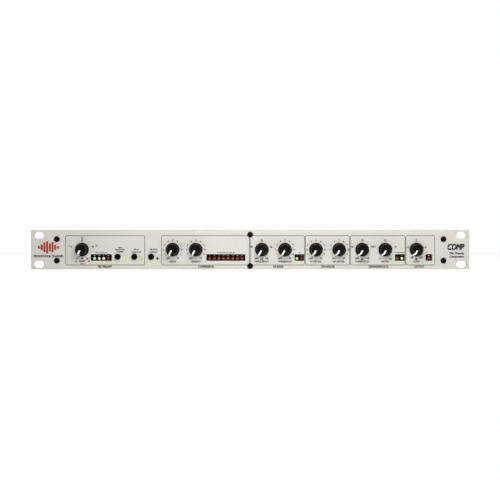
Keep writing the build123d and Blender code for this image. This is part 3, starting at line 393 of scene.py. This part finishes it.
STEPS = (("OFF", -150),) + tuple((str(n), 30 * n - 150) for n in range(1, 11))
DIALS = {  # numbers and their angles, clockwise from straight up
    "mic_gain": (("0", -150), ("15", -75), ("30", 0), ("45", 75), ("60", 150)),
    "drive": STEPS,
    "density": STEPS,
    "de_esser_frequency": (("800", -150), ("1.5k", -75), ("3k", 0), ("6k", 75), ("10k", 150)),
    "de_esser_threshold": STEPS,
    "low_detail": STEPS,
    "high_detail": STEPS,
    "gate_threshold": (("OFF", -150), ("-45", -75), ("-30", 0), ("-15", 75), ("+10", 150)),
    "gate_ratio": (("1:1", -150), ("1.5:1", -75), ("2:1", 0), ("4:1", 75), ("10:1", 150)),
    "output_gain": (("-30", -150), ("-15", -75), ("0", 0), ("+10", 75), ("+20", 150)),
}
NUMBERS_FROM = 9.3  # radius of the circle that a dial's numbers stand clear of
WIDER = {"mic_gain": 1.3, "output_gain": -2.3}  # how much further out, or closer, the side numbers stand
TICK_RADIUS, TICK_WIDTH, TICK_LENGTH = 8.3, 0.28, 1.3
# A dial has a tick at every number, unless it is one of these, which have one at every so many.
TICK_EVERY = {"output_gain": 2, **{name: 10 for name, marks in DIALS.items() if marks is STEPS}}
SECOND_SCALE = (("-15", -150), ("0", -75), ("15", 0), ("30", 75), ("45", 150))
SECOND_FROM, SECOND_WIDER, SECOND_NAME_DROP = 12.1, 2.4, 15.3
TITLES = {
    "mic_gain": "GAIN",
    "drive": "DRIVE",
    "density": "DENSITY",
    "de_esser_frequency": "FREQUENCY",
    "de_esser_threshold": "THRESHOLD",
    "low_detail": "LF DETAIL",
    "high_detail": "HF DETAIL",
    "gate_threshold": "THRESHOLD",
    "gate_ratio": "RATIO",
    "output_gain": "GAIN",
}
UNITS = {"mic_gain": "dB", "de_esser_frequency": "Hz", "gate_threshold": "dB", "output_gain": "dB"}
TITLE_DROP, UNIT_DROP = 13.2, 10.7  # below a knob's middle
FIRST_TITLE_DROP, FIRST_UNIT_DROP = 12.7, 9.8  # closer on the first dial, to leave room for the red name

BUTTON_NAMES = (  # middle, lines, height of the first line, drop to the next
    (-143.3, ("+48 V", "PHANTOM", "POWER"), 2.5, 2.3),
    (-125.1, ("80 Hz", "HIGH PASS"), 0.4, 2.9),
    (-106.3, ("PROCESS", "BYPASS"), 0.4, 2.9),
)
BUTTON_NAME_HEIGHT = 1.6
LED_PITCH = 5.08
WINDOWS = (  # middle, marks over the lamps, name over the window, the name's width
    (-163.9, ("-18", "-10", "0", "+10"), "INPUT LEVEL dB", 12.0),
    (-26.8, ("1", "3", "6", "9", "12", "15", "20", "30"), "GAIN REDUCTION dB", 18.8),
    (54.1, ("-", "+"), "GR", 2.0),
    (164.8, ("-", "+"), "THRESHOLD", 10.5),
    (196.7, ("OL",), "", 0.0),
)
WINDOW_NAME_Z, WINDOW_NAME_HEIGHT = -3.1, 1.3
MARK_Z, MARK_HEIGHT = -6.2, 1.15
LENS_DEPTH = 0.1  # how far the lenses lie behind the panel's face
# Stretches along X: the lit lamps, the lamps beside the buttons, the unlit red lamps, which get a painted
# glow, and the painted red glow round them on the holder.
LIT_GREEN = [(-180.0, -150.0), (40.0, 70.0), (150.0, 180.0)]
LIT_YELLOW = [(-180.0, -150.0)]
BRIGHT_STATUS, DULL_STATUS, RED_STATUS = [(-145.0, -132.0)], [(-127.0, -115.0)], [(-106.0, -98.0)]
GREEN_STATUS = [(-145.0, -115.0)]
RED_BEHIND_LENS_PAINTED_GLOW = [(-160.0, -150.0), (-50.0, 210.0)]
# Where the holder gets a painted red glow: its spans along X, then its heights.
RED_GLOW_SPANS = [(-158.8, -152.0), (-49.0, -4.6), (54.1, 60.2), (158.7, 164.8), (192.5, 201.0)]
RED_GLOW_HEIGHTS = [(-12.5, -7.0)]

WAVE = (3.6, 7.0, 11.2, 13.8, 9.0, 12.0, 6.0, 3.0)  # the heights of the emblem's bars
WAVE_X, WAVE_Z, WAVE_PITCH = -222.0, 2.75, 23.2 / 7.7
WAVE_BAR, WAVE_CORNER = 0.8 * WAVE_PITCH, 0.395 * WAVE_PITCH  # the bars' width, and their nearly round ends
TITLE_SLANT = 0.22


# ---------------------------------------------------------------- operators
class COMPRESSOR_OT_panel(bpy.types.Operator):
    """Coats the front panel with silver-grey enamel and blackens its screws"""

    bl_idname = "compressor.panel"
    bl_label = "Front Panel"

    def execute(self, context):
        colours = context.scene.compressor_finish
        # Stoved enamel with a little aluminium flake: a soft satin sheen and a fine sparkle. The real
        # flake is some 0.05 mm across; it is drawn coarser, or it would not show.
        enamel = textured(
            "Silver-grey flake enamel",
            colours.panel,
            0.035,
            1.1,
            (0.4, 0.52),
            (0.7, 0.006),
            metallic=0.12,
            Coat_Weight=0.12,
            Coat_Roughness=0.3,
        )
        assign(["front_panel"], enamel)
        # Black oxide leaves steel nearly black with an oily gloss on the rounded heads.
        oxide = textured(
            "Black oxide steel", srgb("#060606"), 0.2, 0.5, (0.3, 0.42), (0.2, 0.004), Specular_IOR_Level=0.1
        )
        assign(["panel_screws", "cover_screws"], oxide)
        return {"FINISHED"}


class COMPRESSOR_OT_printing(bpy.types.Operator):
    """Prints the section frames, the dials and the names on the front panel"""

    bl_idname = "compressor.printing"
    bl_label = "Panel Printing"

    def dial(self, target, x, z, marks, start, height, wider=0.0):
        """Numbers round a knob, just clear of a circle of radius start; wider moves the side ones out."""
        for words, angle in marks:
            turn = math.radians(angle)
            half_width, half_height = len(words) * height * HALF_LETTER + wider, height * 0.5
            reach = start + abs(math.sin(turn)) * half_width + abs(math.cos(turn)) * half_height
            letter(target, words, x + reach * math.sin(turn), z + reach * math.cos(turn), height, bold=0.08)

    def ticks(self, target, x, z, marks):
        """Short lines between a knob and its numbers."""
        for words, angle in marks:
            turn = math.radians(angle)
            spot = (x + TICK_RADIUS * MM * math.sin(turn), z + TICK_RADIUS * MM * math.cos(turn))
            bar(target, *spot, TICK_WIDTH * MM, TICK_LENGTH * MM, turn=-angle)

    def execute(self, context):
        ink = context.scene.compressor_print
        number = ink.number_height
        black, grey, red = bmesh.new(), bmesh.new(), bmesh.new()
        for words, x, left, right in SECTIONS:
            letter(black, words, x * MM, SECTION_NAME_Z * MM, ink.legend_height, narrow=0.86, bold=0.085)
            edges = [value * MM for value in (left, right, FRAME_BOTTOM, FRAME_TOP)]
            outline(grey, *edges, ink.frame_corner, ink.line_width)
        for knob in KNOBS:
            x, z, marks = KNOB_PLACE[knob].x, KNOB_PLACE[knob].z, DIALS[knob]
            self.dial(black, x, z, marks, NUMBERS_FROM * MM, number, WIDER.get(knob, 0.0) * MM)
            self.ticks(black, x, z, marks[:: TICK_EVERY.get(knob, 1)])
            first = knob == "mic_gain"
            drop = FIRST_TITLE_DROP if first else TITLE_DROP
            letter(black, TITLES[knob], x, z - drop * MM, number, narrow=1.0, bold=0.08)
            if knob in UNITS:
                drop = FIRST_UNIT_DROP if first else UNIT_DROP
                letter(black, UNITS[knob], x, z - drop * MM, number, bold=0.08)
        gain = KNOB_PLACE["mic_gain"]
        self.dial(red, gain.x, gain.z, SECOND_SCALE, SECOND_FROM * MM, number, SECOND_WIDER * MM)
        letter(red, "LINE", gain.x, gain.z - SECOND_NAME_DROP * MM, number * 0.85, bold=0.07)
        for x, lines, top, drop in BUTTON_NAMES:
            for row, words in enumerate(lines):
                z = (top - drop * row) * MM
                letter(black, words, x * MM, z, BUTTON_NAME_HEIGHT * MM, bold=0.08)
        for x, words, name, width in WINDOWS:
            if name:
                z = WINDOW_NAME_Z * MM
                letter(black, name, x * MM, z, WINDOW_NAME_HEIGHT * MM, width * MM, bold=0.05)
        # Screen-printed epoxy, one pass: flat, satin and just thick enough to catch an edge of light.
        for words, layer, colour in (
            ("black", black, ink.black),
            ("grey", grey, ink.grey),
            ("red", red, ink.red),
        ):
            thicken(layer, ink.ink_height)
            place = on_face(lift=ink.ink_height - SUNK)
            bmesh.ops.transform(layer, matrix=place, verts=layer.verts[:])
            piece(f"panel_print_{words}", layer, plain_ink(f"{words.capitalize()} epoxy ink", colour))
        return {"FINISHED"}


class COMPRESSOR_OT_emblem(bpy.types.Operator):
    """Adds the sound-wave emblem at the left end and the title at the right end"""

    bl_idname = "compressor.emblem"
    bl_label = "Emblem and Title"

    def execute(self, context):
        ink = context.scene.compressor_print
        wave, title = bmesh.new(), bmesh.new()
        for index, tall in enumerate(WAVE):
            x = WAVE_X + (index - (len(WAVE) - 1) / 2) * WAVE_PITCH
            bar(wave, x * MM, WAVE_Z * MM, WAVE_BAR * MM, tall * MM, WAVE_CORNER * MM)
        letter(
            title,
            "MICROPHONE CHANNEL",
            x=-221.7 * MM,
            y=-6.9 * MM,
            height=2.3 * MM,
            width=33.0 * MM,
            bold=0.08,
        )
        letter(
            title,
            "COMP",
            x=226.6 * MM,
            y=3.2 * MM,
            height=6.2 * MM,
            width=18.0 * MM,
            bold=0.09,
            slant=TITLE_SLANT,
        )
        for row, words in enumerate(("Mic Preamp", "Compressor")):
            letter(
                title,
                words,
                x=235.4 * MM,
                y=(-3.6 - 3.7 * row) * MM,
                height=2.3 * MM,
                width=16.0 * MM,
                bold=0.085,
                slant=TITLE_SLANT,
                align="RIGHT",
            )
        thick = ink.ink_height * 1.3
        for name, layer, colour in (("emblem_wave", wave, ink.red), ("panel_title", title, ink.black)):
            thicken(layer, thick)
            bmesh.ops.transform(layer, matrix=on_face(lift=thick - SUNK), verts=layer.verts[:])
            # Two passes of the screen leave these marks thicker and a little glossier than the small print.
            heavy = textured(f"Heavy epoxy ink {name}", colour, 0.08, 1.5, (0.38, 0.5), (0.4, 0.004))
            piece(name, layer, heavy)
        return {"FINISHED"}


class COMPRESSOR_OT_knobs(bpy.types.Operator):
    """Finishes the knobs and their potentiometers, and fills the knobs' pointer lines"""

    bl_idname = "compressor.knobs"
    bl_label = "Knobs"

    def pointer(self):
        """The filled line, standing on the XY plane and pointing along -Y, a hair proud of the knob."""
        outer = ((1.3, 13.8), (2.3, 13.9), (3.4, 14.06), (4.62, 14.24), (5.64, 13.33), (6.94, 3.25))
        outer += ((7.54, 2.72), (7.54, 0.86))
        inner = ((7.18, 0.86), (7.18, 2.38), (6.58, 2.88), (5.28, 12.97), (4.44, 13.88), (3.4, 13.7))
        inner += ((2.3, 13.54), (1.3, 13.46))
        half = 0.75  # a little wider than the groove it fills
        made = bmesh.new()
        corners = [made.verts.new((-half * MM, -r * MM, h * MM)) for r, h in outer + inner]
        side = made.faces.new(corners)
        grown = bmesh.ops.extrude_face_region(made, geom=[side], use_keep_orig=True)
        moved = [part for part in grown["geom"] if isinstance(part, bmesh.types.BMVert)]
        bmesh.ops.translate(made, verts=moved, vec=(2 * half * MM, 0, 0))
        return made

    def execute(self, context):
        colours = context.scene.compressor_finish
        # Moulded ABS with a spark-eroded matt: dark, with soft broad highlights on the crown's bevel.
        abs_plastic = textured(
            "Matt black ABS", colours.knob, 0.12, 0.6, (0.42, 0.54), (0.22, 0.004), Specular_IOR_Level=0.05
        )
        assign([f"{name}_knob" for name in KNOBS], abs_plastic)
        # Hot-stamped white: opaque and slightly chalky. The emission is painted light: a glow that keeps the
        # line white down the knob's shaded flank.
        white = textured(
            "White stamped pointer",
            colours.pointer,
            0.02,
            0.8,
            (0.5, 0.6),
            (0.3, 0.003),
            Emission_Color=(1, 1, 1, 1),
            Emission_Strength=0.3,
        )
        rest = Matrix.Rotation(math.radians(-30), 4, "Z")  # the fully anticlockwise stop
        for name in KNOBS:
            made = self.pointer()
            spot = KNOB_PLACE[name]
            bmesh.ops.transform(made, matrix=on_face(spot.x, spot.z) @ rest, verts=made.verts[:])
            piece(f"{name}_pointer", made, white, f"{name}_control")
        # Fine turning marks: a bright pale grey with an uneven sheen.
        turned = textured(
            "Turned aluminium", srgb("#b9b9b6"), 0.08, 0.4, (0.28, 0.4), (0.15, 0.003), metallic=1.0
        )
        assign([f"{name}_shaft" for name in KNOBS], turned)
        # Filled phenolic: brownish black, dry and slightly speckled.
        phenolic = textured(
            "Black phenolic moulding", srgb("#26241f"), 0.15, 0.8, (0.45, 0.6), (0.3, 0.008)
        )
        assign(["potentiometer_housings", "button_switches"], phenolic)
        # Bright nickel: a warm white metal that mirrors softly.
        nickel = textured("Nickel-plated brass", srgb("#c9c5bb"), 0.05, 0.8, (0.16, 0.26), metallic=1.0)
        assign(["potentiometer_nuts", "jack_nuts", "board_standoffs"], nickel)
        return {"FINISHED"}


class COMPRESSOR_OT_buttons(bpy.types.Operator):
    """Finishes the push buttons and the power rocker, and marks the rocker"""

    bl_idname = "compressor.buttons"
    bl_label = "Buttons and Rocker"

    def execute(self, context):
        white = context.scene.compressor_print.white
        # Polished-tool ABS: black with a clear, slightly wavy gloss and fine wear.
        gloss = textured(
            "Gloss black ABS", srgb("#030303"), 0.1, 1.2, (0.22, 0.32), (0.6, 0.003), Specular_IOR_Level=0.05
        )
        assign([f"{name}_button" for name in BUTTONS] + ["power_rocker"], gloss)
        from_middle, stroke, bar_length, ring_radius = 3.4 * MM, 0.5 * MM, 2.6 * MM, 1.4 * MM
        made = bmesh.new()
        bar(made, 0, from_middle, stroke, bar_length)
        ring = bmesh.new()
        bmesh.ops.create_circle(ring, cap_ends=True, segments=28, radius=ring_radius)
        whole = ring.faces[:]
        bmesh.ops.inset_region(ring, faces=whole, thickness=stroke, use_boundary=True, use_even_offset=True)
        bmesh.ops.delete(ring, geom=whole, context="FACES")
        pour(ring, made, Matrix.Translation((0, -from_middle, 0)))
        # Each mark lies on its own half of the shallow V that the rocker's face makes.
        slope, valley, mark_height = 1.1 / 6.8, 2.03 * MM, 0.06 * MM
        thicken(made, mark_height)
        for vert in made.verts:
            vert.co.z += valley + abs(vert.co.y) * slope
        low, high = (Vector(corner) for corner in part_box("power_switch_housing"))
        rest_angle = -10  # degrees that the rocker is tipped at rest
        tilt = Matrix.Rotation(math.radians(rest_angle), 4, "X")
        place = on_rear((low.x + high.x) / 2, (low.z + high.z) / 2) @ tilt
        bmesh.ops.transform(made, matrix=place, verts=made.verts[:])
        piece("rocker_marks", made, plain_ink("White rocker ink", white), "power_rocker")
        return {"FINISHED"}


class COMPRESSOR_OT_meters(bpy.types.Operator):
    """Finishes the meter windows and the lamps, lights the ones in use and prints the windows' marks"""

    bl_idname = "compressor.meters"
    bl_label = "Meters and Lamps"

    def within(self, tree, value, spans):
        """1 where value, in metres, is inside one of the spans given in millimetres, and 0 elsewhere."""
        total = None
        for low, high in spans:
            settings = {"operation": "COMPARE", 1: (low + high) / 2 * MM, 2: (high - low) / 2 * MM}
            found = add_node(tree, "ShaderNodeMath", settings, {0: value}).outputs[0]
            if total is not None:
                either = add_node(tree, "ShaderNodeMath", {"operation": "MAXIMUM"}, {0: total, 1: found})
                found = either.outputs[0]
            total = found
        return total

    def lamp(self, name, colour, glow_colour, lights, outside=None):
        """Tinted epoxy that glows along X as lights says: (strength, spans in millimetres) each.

        outside is the spans of lamps with no lens in front, and their colour when unlit.
        """
        material, tree, shader, place = blank(name, 0.18, Transmission_Weight=0.15, IOR=1.5, Coat_Weight=0.2)
        grain = {"Scale": 1 / (0.9 * MM), "Detail": 1.0}
        noise = add_node(tree, "ShaderNodeTexNoise", grain, {"Vector": place})
        ramp = add_node(tree, "ShaderNodeValToRGB", links={"Fac": noise.outputs["Fac"]})
        ramp.color_ramp.elements[0].color = (*[c * 0.85 for c in srgb(colour)], 1)
        ramp.color_ramp.elements[1].color = (*srgb(colour), 1)
        tint = ramp.outputs["Color"]
        x = add_node(tree, "ShaderNodeSeparateXYZ", links={"Vector": place}).outputs["X"]
        if outside:
            bare = self.within(tree, x, outside[0])
            mix = add_node(tree, "ShaderNodeMix", {"data_type": "RGBA"}, {0: bare, 6: tint})
            mix.inputs[7].default_value = (*srgb(outside[1]), 1)
            tint = mix.outputs[2]
        tree.links.new(tint, shader.inputs["Base Color"])
        power = None
        for strength, spans in lights:
            mask = self.within(tree, x, spans)
            scaled = {"operation": "MULTIPLY", 1: strength}
            part = add_node(tree, "ShaderNodeMath", scaled, {0: mask}).outputs[0]
            if power is not None:
                part = add_node(tree, "ShaderNodeMath", {"operation": "ADD"}, {0: power, 1: part}).outputs[0]
            power = part
        tree.links.new(power, shader.inputs["Emission Strength"])
        shader.inputs["Emission Color"].default_value = (*srgb(glow_colour), 1)
        return material

    def execute(self, context):
        glow = context.scene.compressor_finish.glow
        # Diffused epoxy: milky, glowing evenly to its edge. Green goes pale when lit; the two lamps
        # beside the push buttons stand free of any lens.
        lights = [(glow, LIT_GREEN), (0.2 * glow, BRIGHT_STATUS), (0.02 * glow, DULL_STATUS)]
        green = self.lamp("Green diffused epoxy", "#a9cf5a", "#d3f1bb", lights, (GREEN_STATUS, "#bfc786"))
        assign(["green_lamps"], green)
        yellow = self.lamp("Yellow diffused epoxy", "#e6d44a", "#f2dcca", [(glow, LIT_YELLOW)])
        assign(["yellow_lamps"], yellow)
        # Unlit red: red epoxy lightened to a dusty pink, with a faint glow on the lamps behind the lens; the
        # pink and the glow are a painted reflection of the room's light. The bare status lamp is a dark
        # brown-red.
        unlit_painted_glow = [(0.1 * glow, RED_BEHIND_LENS_PAINTED_GLOW)]
        red = self.lamp("Red diffused epoxy", "#e09084", "#c87068", unlit_painted_glow, (RED_STATUS, "#5e2219"))
        assign(["red_lamps"], red)
        # Smoked acrylic: a clear gloss that greys what is behind it. Its IOR is set low, because at this
        # size a true one's glare veils the lamps.
        acrylic, tree, shader, place = blank("Smoked acrylic", 0.05, Transmission_Weight=1.0, IOR=1.12)
        shader.inputs["Base Color"].default_value = (*srgb("#d8d4d2"), 1)
        assign(["meter_lenses"], acrylic)
        # The holder's face is dull black nylon; the dark red in the lower band round the red lamps is a
        # painted red glow.
        nylon, tree, shader, place = blank("Black nylon with painted red glow", 0.6, Specular_IOR_Level=0.08)
        parts = add_node(tree, "ShaderNodeSeparateXYZ", links={"Vector": place})
        across = self.within(tree, parts.outputs["X"], RED_GLOW_SPANS)
        lower = self.within(tree, parts.outputs["Z"], RED_GLOW_HEIGHTS)
        red_glow_mask = add_node(tree, "ShaderNodeMath", {"operation": "MULTIPLY"}, {0: across, 1: lower}).outputs[0]
        painted_red_glow = add_node(tree, "ShaderNodeMix", {"data_type": "RGBA"}, {0: red_glow_mask})
        painted_red_glow.inputs[6].default_value = (*srgb("#060606"), 1)
        painted_red_glow.inputs[7].default_value = (*srgb("#520b0a"), 1)
        tree.links.new(painted_red_glow.outputs[2], shader.inputs["Base Color"])
        assign(["lamp_holders"], nylon)
        ink = context.scene.compressor_print
        marks = bmesh.new()
        for x, words, name, width in WINDOWS:
            for index, word in enumerate(words):
                spot = (x + (index - (len(words) - 1) / 2) * LED_PITCH) * MM
                letter(marks, word, spot, MARK_Z * MM, MARK_HEIGHT * MM, bold=0.04, narrow=0.85)
        thicken(marks, ink.ink_height)
        place = on_face(lift=ink.ink_height - LENS_DEPTH * MM - SUNK)
        bmesh.ops.transform(marks, matrix=place, verts=marks.verts[:])
        # Thin white print on the lens, greyed a little by the black under it.
        piece("window_marks", marks, plain_ink("White window ink", srgb("#b9b4ae")))
        return {"FINISHED"}


class COMPRESSOR_OT_case(bpy.types.Operator):
    """Coats the tray and the top cover, and prints the names on the rear wall"""

    bl_idname = "compressor.case"
    bl_label = "Case"

    def execute(self, context):
        colours = context.scene.compressor_finish
        # Powder coat stoved to a leathery texture of 0.5 mm cells: black, with broken soft highlights.
        coat = textured("Textured powder coat", colours.case, 0.25, 0.9, (0.5, 0.66), (0.5, 0.05))
        assign(["chassis_tray", "top_cover"], coat)
        ink = context.scene.compressor_print
        names = bmesh.new()
        for words, node, x, z in (  # x is from the node's middle, as seen from behind
            ("MIC INPUT", "mic_socket", 0, -18.4),
            ("INSERT", "line_jacks", 25.4, -13.4),
            ("LINE INPUT", "line_jacks", 0, -13.4),
            ("OUTPUT", "line_jacks", -25.4, -13.4),
            ("POWER", "power_switch_housing", 0, -14.6),
            ("MAINS INPUT", "mains_inlet", 0, -14.6),
        ):
            letter(names, words, -centre(node).x + x * MM, z * MM, 2.0 * MM, bold=0.01)
        thicken(names, ink.ink_height * 2)
        bmesh.ops.transform(names, matrix=on_rear(lift=ink.ink_height), verts=names.verts[:])
        piece("rear_print", names, plain_ink("White rear ink", ink.white))
        return {"FINISHED"}


class COMPRESSOR_OT_sockets(bpy.types.Operator):
    """Finishes the sockets, the mains inlet and the power switch"""

    bl_idname = "compressor.sockets"
    bl_label = "Sockets"

    def execute(self, context):
        # Glass-filled nylon: matt black with a faint grey bloom.
        nylon = textured("Glass-filled nylon", srgb("#161615"), 0.18, 0.7, (0.42, 0.56), (0.3, 0.01))
        assign(["mains_inlet", "power_switch_housing", "mic_socket", "line_jacks"], nylon)
        # Zinc plate: a cool silver, faintly patchy.
        zinc = textured(
            "Bright zinc plate", srgb("#b7b8b6"), 0.1, 1.5, (0.24, 0.36), (0.4, 0.004), metallic=1.0
        )
        assign(["socket_screws", "board_screws", "transformer_bracket", "mic_socket_latch"], zinc)
        # Silver plate: a warm white mirror, a little tarnished.
        silver = textured("Silver-plated contact", srgb("#d6d2c6"), 0.08, 0.8, (0.2, 0.34), metallic=1.0)
        assign(["mains_contacts", "mic_socket_contacts"], silver)
        return {"FINISHED"}


class COMPRESSOR_OT_electronics(bpy.types.Operator):
    """Finishes the boards, the transformer and everything on the boards"""

    bl_idname = "compressor.electronics"
    bl_label = "Electronics"

    def execute(self, context):
        # Solder mask: glossy green varnish over glass cloth, in lighter and darker patches.
        mask = textured("Green solder mask", srgb("#1f6b3a"), 0.3, 3.0, (0.25, 0.4), (1.2, 0.02))
        assign(["main_board", "power_board"], mask)
        # Moulded packages: matt charcoal with a fine grain.
        epoxy = textured("Black moulding epoxy", srgb("#1a1a1a"), 0.12, 0.5, (0.5, 0.62), (0.3, 0.01))
        assign(["integrated_circuits", "voltage_regulators"], epoxy)
        # Shrunk PVC: blue-black and smoothly glossy.
        sleeve = textured("Black heat-shrink sleeve", srgb("#15181f"), 0.15, 2.0, (0.25, 0.4))
        assign(["capacitors"], sleeve)
        # Dyed anodising: black with a metallic depth.
        anodised = textured(
            "Black anodised aluminium", srgb("#1b1b1d"), 0.15, 0.8, (0.35, 0.5), metallic=0.6
        )
        assign(["heat_sink"], anodised)
        # Varnish over the edges of the laminations: dark, uneven and half metallic.
        steel = textured(
            "Varnished lamination steel", srgb("#3b3a38"), 0.25, 0.5, (0.3, 0.5), (0.5, 0.03), metallic=0.5
        )
        assign(["transformer_core"], steel)
        # Thin glossy tape over copper: amber, with soft wrinkles.
        tape = textured("Yellow polyester tape", srgb("#c9a43a"), 0.12, 2.5, (0.22, 0.34), (1.5, 0.02))
        assign(["transformer_winding"], tape)
        # Glass tube and spring clips, finished as one: pale, bright and reflective.
        glass = textured("Fuse glass and clips", srgb("#c4c6c2"), 0.05, 1.0, (0.1, 0.2), metallic=0.6)
        assign(["mains_fuse"], glass)
        # Soft PVC: dull mid grey.
        flat_cable = textured("Grey ribbon cable", srgb("#8b8c8e"), 0.12, 1.2, (0.45, 0.55), (0.6, 0.03))
        assign(["board_cable"], flat_cable)
        # Smooth PVC: deep blue with a soft shine.
        insulation = textured("Blue wire insulation", srgb("#233f7a"), 0.1, 1.0, (0.35, 0.45))
        assign(["internal_wires"], insulation)
        return {"FINISHED"}


class COMPRESSOR_OT_stage(bpy.types.Operator):
    """Adds the floor, the lights, the surroundings and the camera"""

    bl_idname = "compressor.stage"
    bl_label = "Stage"

    def lamp(self, name, place, target, size, power):
        """A rectangular light, unseen by the camera, that shines at target."""
        data = bpy.data.lights.new(name, "AREA")
        data.shape = "RECTANGLE"
        data.size, data.size_y = size
        data.energy = power
        made = bpy.data.objects.new(name, data)
        made.location = place
        made.rotation_euler = (Vector(target) - Vector(place)).to_track_quat("-Z", "Y").to_euler()
        made.visible_camera = False
        bpy.context.scene.collection.objects.link(made)

    def execute(self, context):
        scene = context.scene
        studio = scene.compressor_studio
        low = cad_box[0]
        made = bmesh.new()
        half_side, just_under = 12.0, 0.02 * MM
        bmesh.ops.create_grid(made, x_segments=2, y_segments=2, size=half_side)
        bmesh.ops.translate(made, verts=made.verts[:], vec=(0, 0, low.z - just_under))
        mesh = bpy.data.meshes.new("floor")
        made.to_mesh(mesh)
        made.free()
        floor = bpy.data.objects.new("floor", mesh)
        scene.collection.objects.link(floor)
        # Matt white paper, flooded with light: it glows a little, and more where the camera sees it, so
        # that it stays white to the horizon.
        paper, tree, shader, place = blank("Matt white paper", 0.95)
        shader.inputs["Specular IOR Level"].default_value = 0.1
        shader.inputs["Emission Color"].default_value = (1, 1, 1, 1)
        fibre = add_node(tree, "ShaderNodeTexNoise", {"Scale": 1 / (40 * MM)}, {"Vector": place})
        shade = add_node(tree, "ShaderNodeValToRGB", links={"Fac": fibre.outputs["Fac"]})
        shade.color_ramp.elements[0].color = (*[part * 0.97 for part in studio.floor], 1)
        shade.color_ramp.elements[1].color = (*studio.floor, 1)
        tree.links.new(shade.outputs["Color"], shader.inputs["Base Color"])
        path = add_node(tree, "ShaderNodeLightPath").outputs["Is Camera Ray"]
        lift = add_node(tree, "ShaderNodeMapRange", {"To Min": 0.2, "To Max": 0.86}, {"Value": path})
        tree.links.new(lift.outputs[0], shader.inputs["Emission Strength"])
        mesh.materials.append(paper)

        world = bpy.data.worlds.new("Studio")
        scene.world = world
        world.use_nodes = True
        tree = world.node_tree
        tree.nodes.clear()
        soft = add_node(tree, "ShaderNodeBackground", {"Color": (1, 1, 1, 1), "Strength": studio.ambient})
        seen = add_node(tree, "ShaderNodeBackground", {"Color": (1, 1, 1, 1), "Strength": 1.0})
        path = add_node(tree, "ShaderNodeLightPath")
        mixed = add_node(
            tree,
            "ShaderNodeMixShader",
            links={0: path.outputs["Is Camera Ray"], 1: soft.outputs[0], 2: seen.outputs[0]},
        )
        add_node(tree, "ShaderNodeOutputWorld", links={"Surface": mixed.outputs[0]})

        key = {"place": (0.06, -0.6, 0.3), "target": (0.04, 0, 0), "size": (0.5, 0.36)}
        self.lamp("key", **key, power=studio.key_power)
        top = {"place": (0, -0.1, 1.1), "target": (0, 0.05, 0), "size": (1.4, 0.7)}
        self.lamp("top", **top, power=studio.top_power)

        data = bpy.data.cameras.new("camera")
        data.lens = studio.lens
        data.sensor_width = 36.0
        data.clip_end = 100.0
        camera = bpy.data.objects.new("camera", data)
        distance = studio.view_width * data.lens / data.sensor_width
        aside = -0.165 * MM  # the camera stands a hair left of and below the panel's middle
        camera.location = (aside, FACE_Y - distance, aside)
        camera.rotation_euler = (math.radians(90), 0, 0)
        scene.collection.objects.link(camera)
        scene.camera = camera
        scene.view_settings.view_transform = "Standard"
        scene.view_settings.look = "None"
        return {"FINISHED"}


OPERATORS = (
    COMPRESSOR_OT_panel,
    COMPRESSOR_OT_printing,
    COMPRESSOR_OT_emblem,
    COMPRESSOR_OT_knobs,
    COMPRESSOR_OT_buttons,
    COMPRESSOR_OT_meters,
    COMPRESSOR_OT_case,
    COMPRESSOR_OT_sockets,
    COMPRESSOR_OT_electronics,
    COMPRESSOR_OT_stage,
)


class COMPRESSOR_PT_sidebar(bpy.types.Panel):
    """Lists the steps that dress the compressor"""

    bl_idname = "COMPRESSOR_PT_sidebar"
    bl_label = "Rack Compressor"
    bl_space_type = "VIEW_3D"
    bl_region_type = "UI"
    bl_category = "Compressor"

    def draw(self, context):
        for step in OPERATORS:
            self.layout.operator(step.bl_idname)
        for group in ("compressor_print", "compressor_finish", "compressor_studio"):
            settings = getattr(context.scene, group)
            box = self.layout.box()
            for name in settings.__annotations__:
                box.prop(settings, name)


SETTINGS = {
    "compressor_print": PrintSettings,
    "compressor_finish": FinishSettings,
    "compressor_studio": StudioSettings,
}


def register():
    for group in (*SETTINGS.values(), *OPERATORS, COMPRESSOR_PT_sidebar):
        bpy.utils.register_class(group)
    for name, group in SETTINGS.items():
        setattr(bpy.types.Scene, name, PointerProperty(type=group))


def unregister():
    for name in SETTINGS:
        delattr(bpy.types.Scene, name)
    for group in (COMPRESSOR_PT_sidebar, *reversed(OPERATORS), *SETTINGS.values()):
        bpy.utils.unregister_class(group)


def main():
    register()
    bpy.ops.compressor.panel()
    bpy.ops.compressor.printing()
    bpy.ops.compressor.emblem()
    bpy.ops.compressor.knobs()
    bpy.ops.compressor.buttons()
    bpy.ops.compressor.meters()
    bpy.ops.compressor.case()
    bpy.ops.compressor.sockets()
    bpy.ops.compressor.electronics()
    bpy.ops.compressor.stage()


if __name__ == "__main__":
    main()
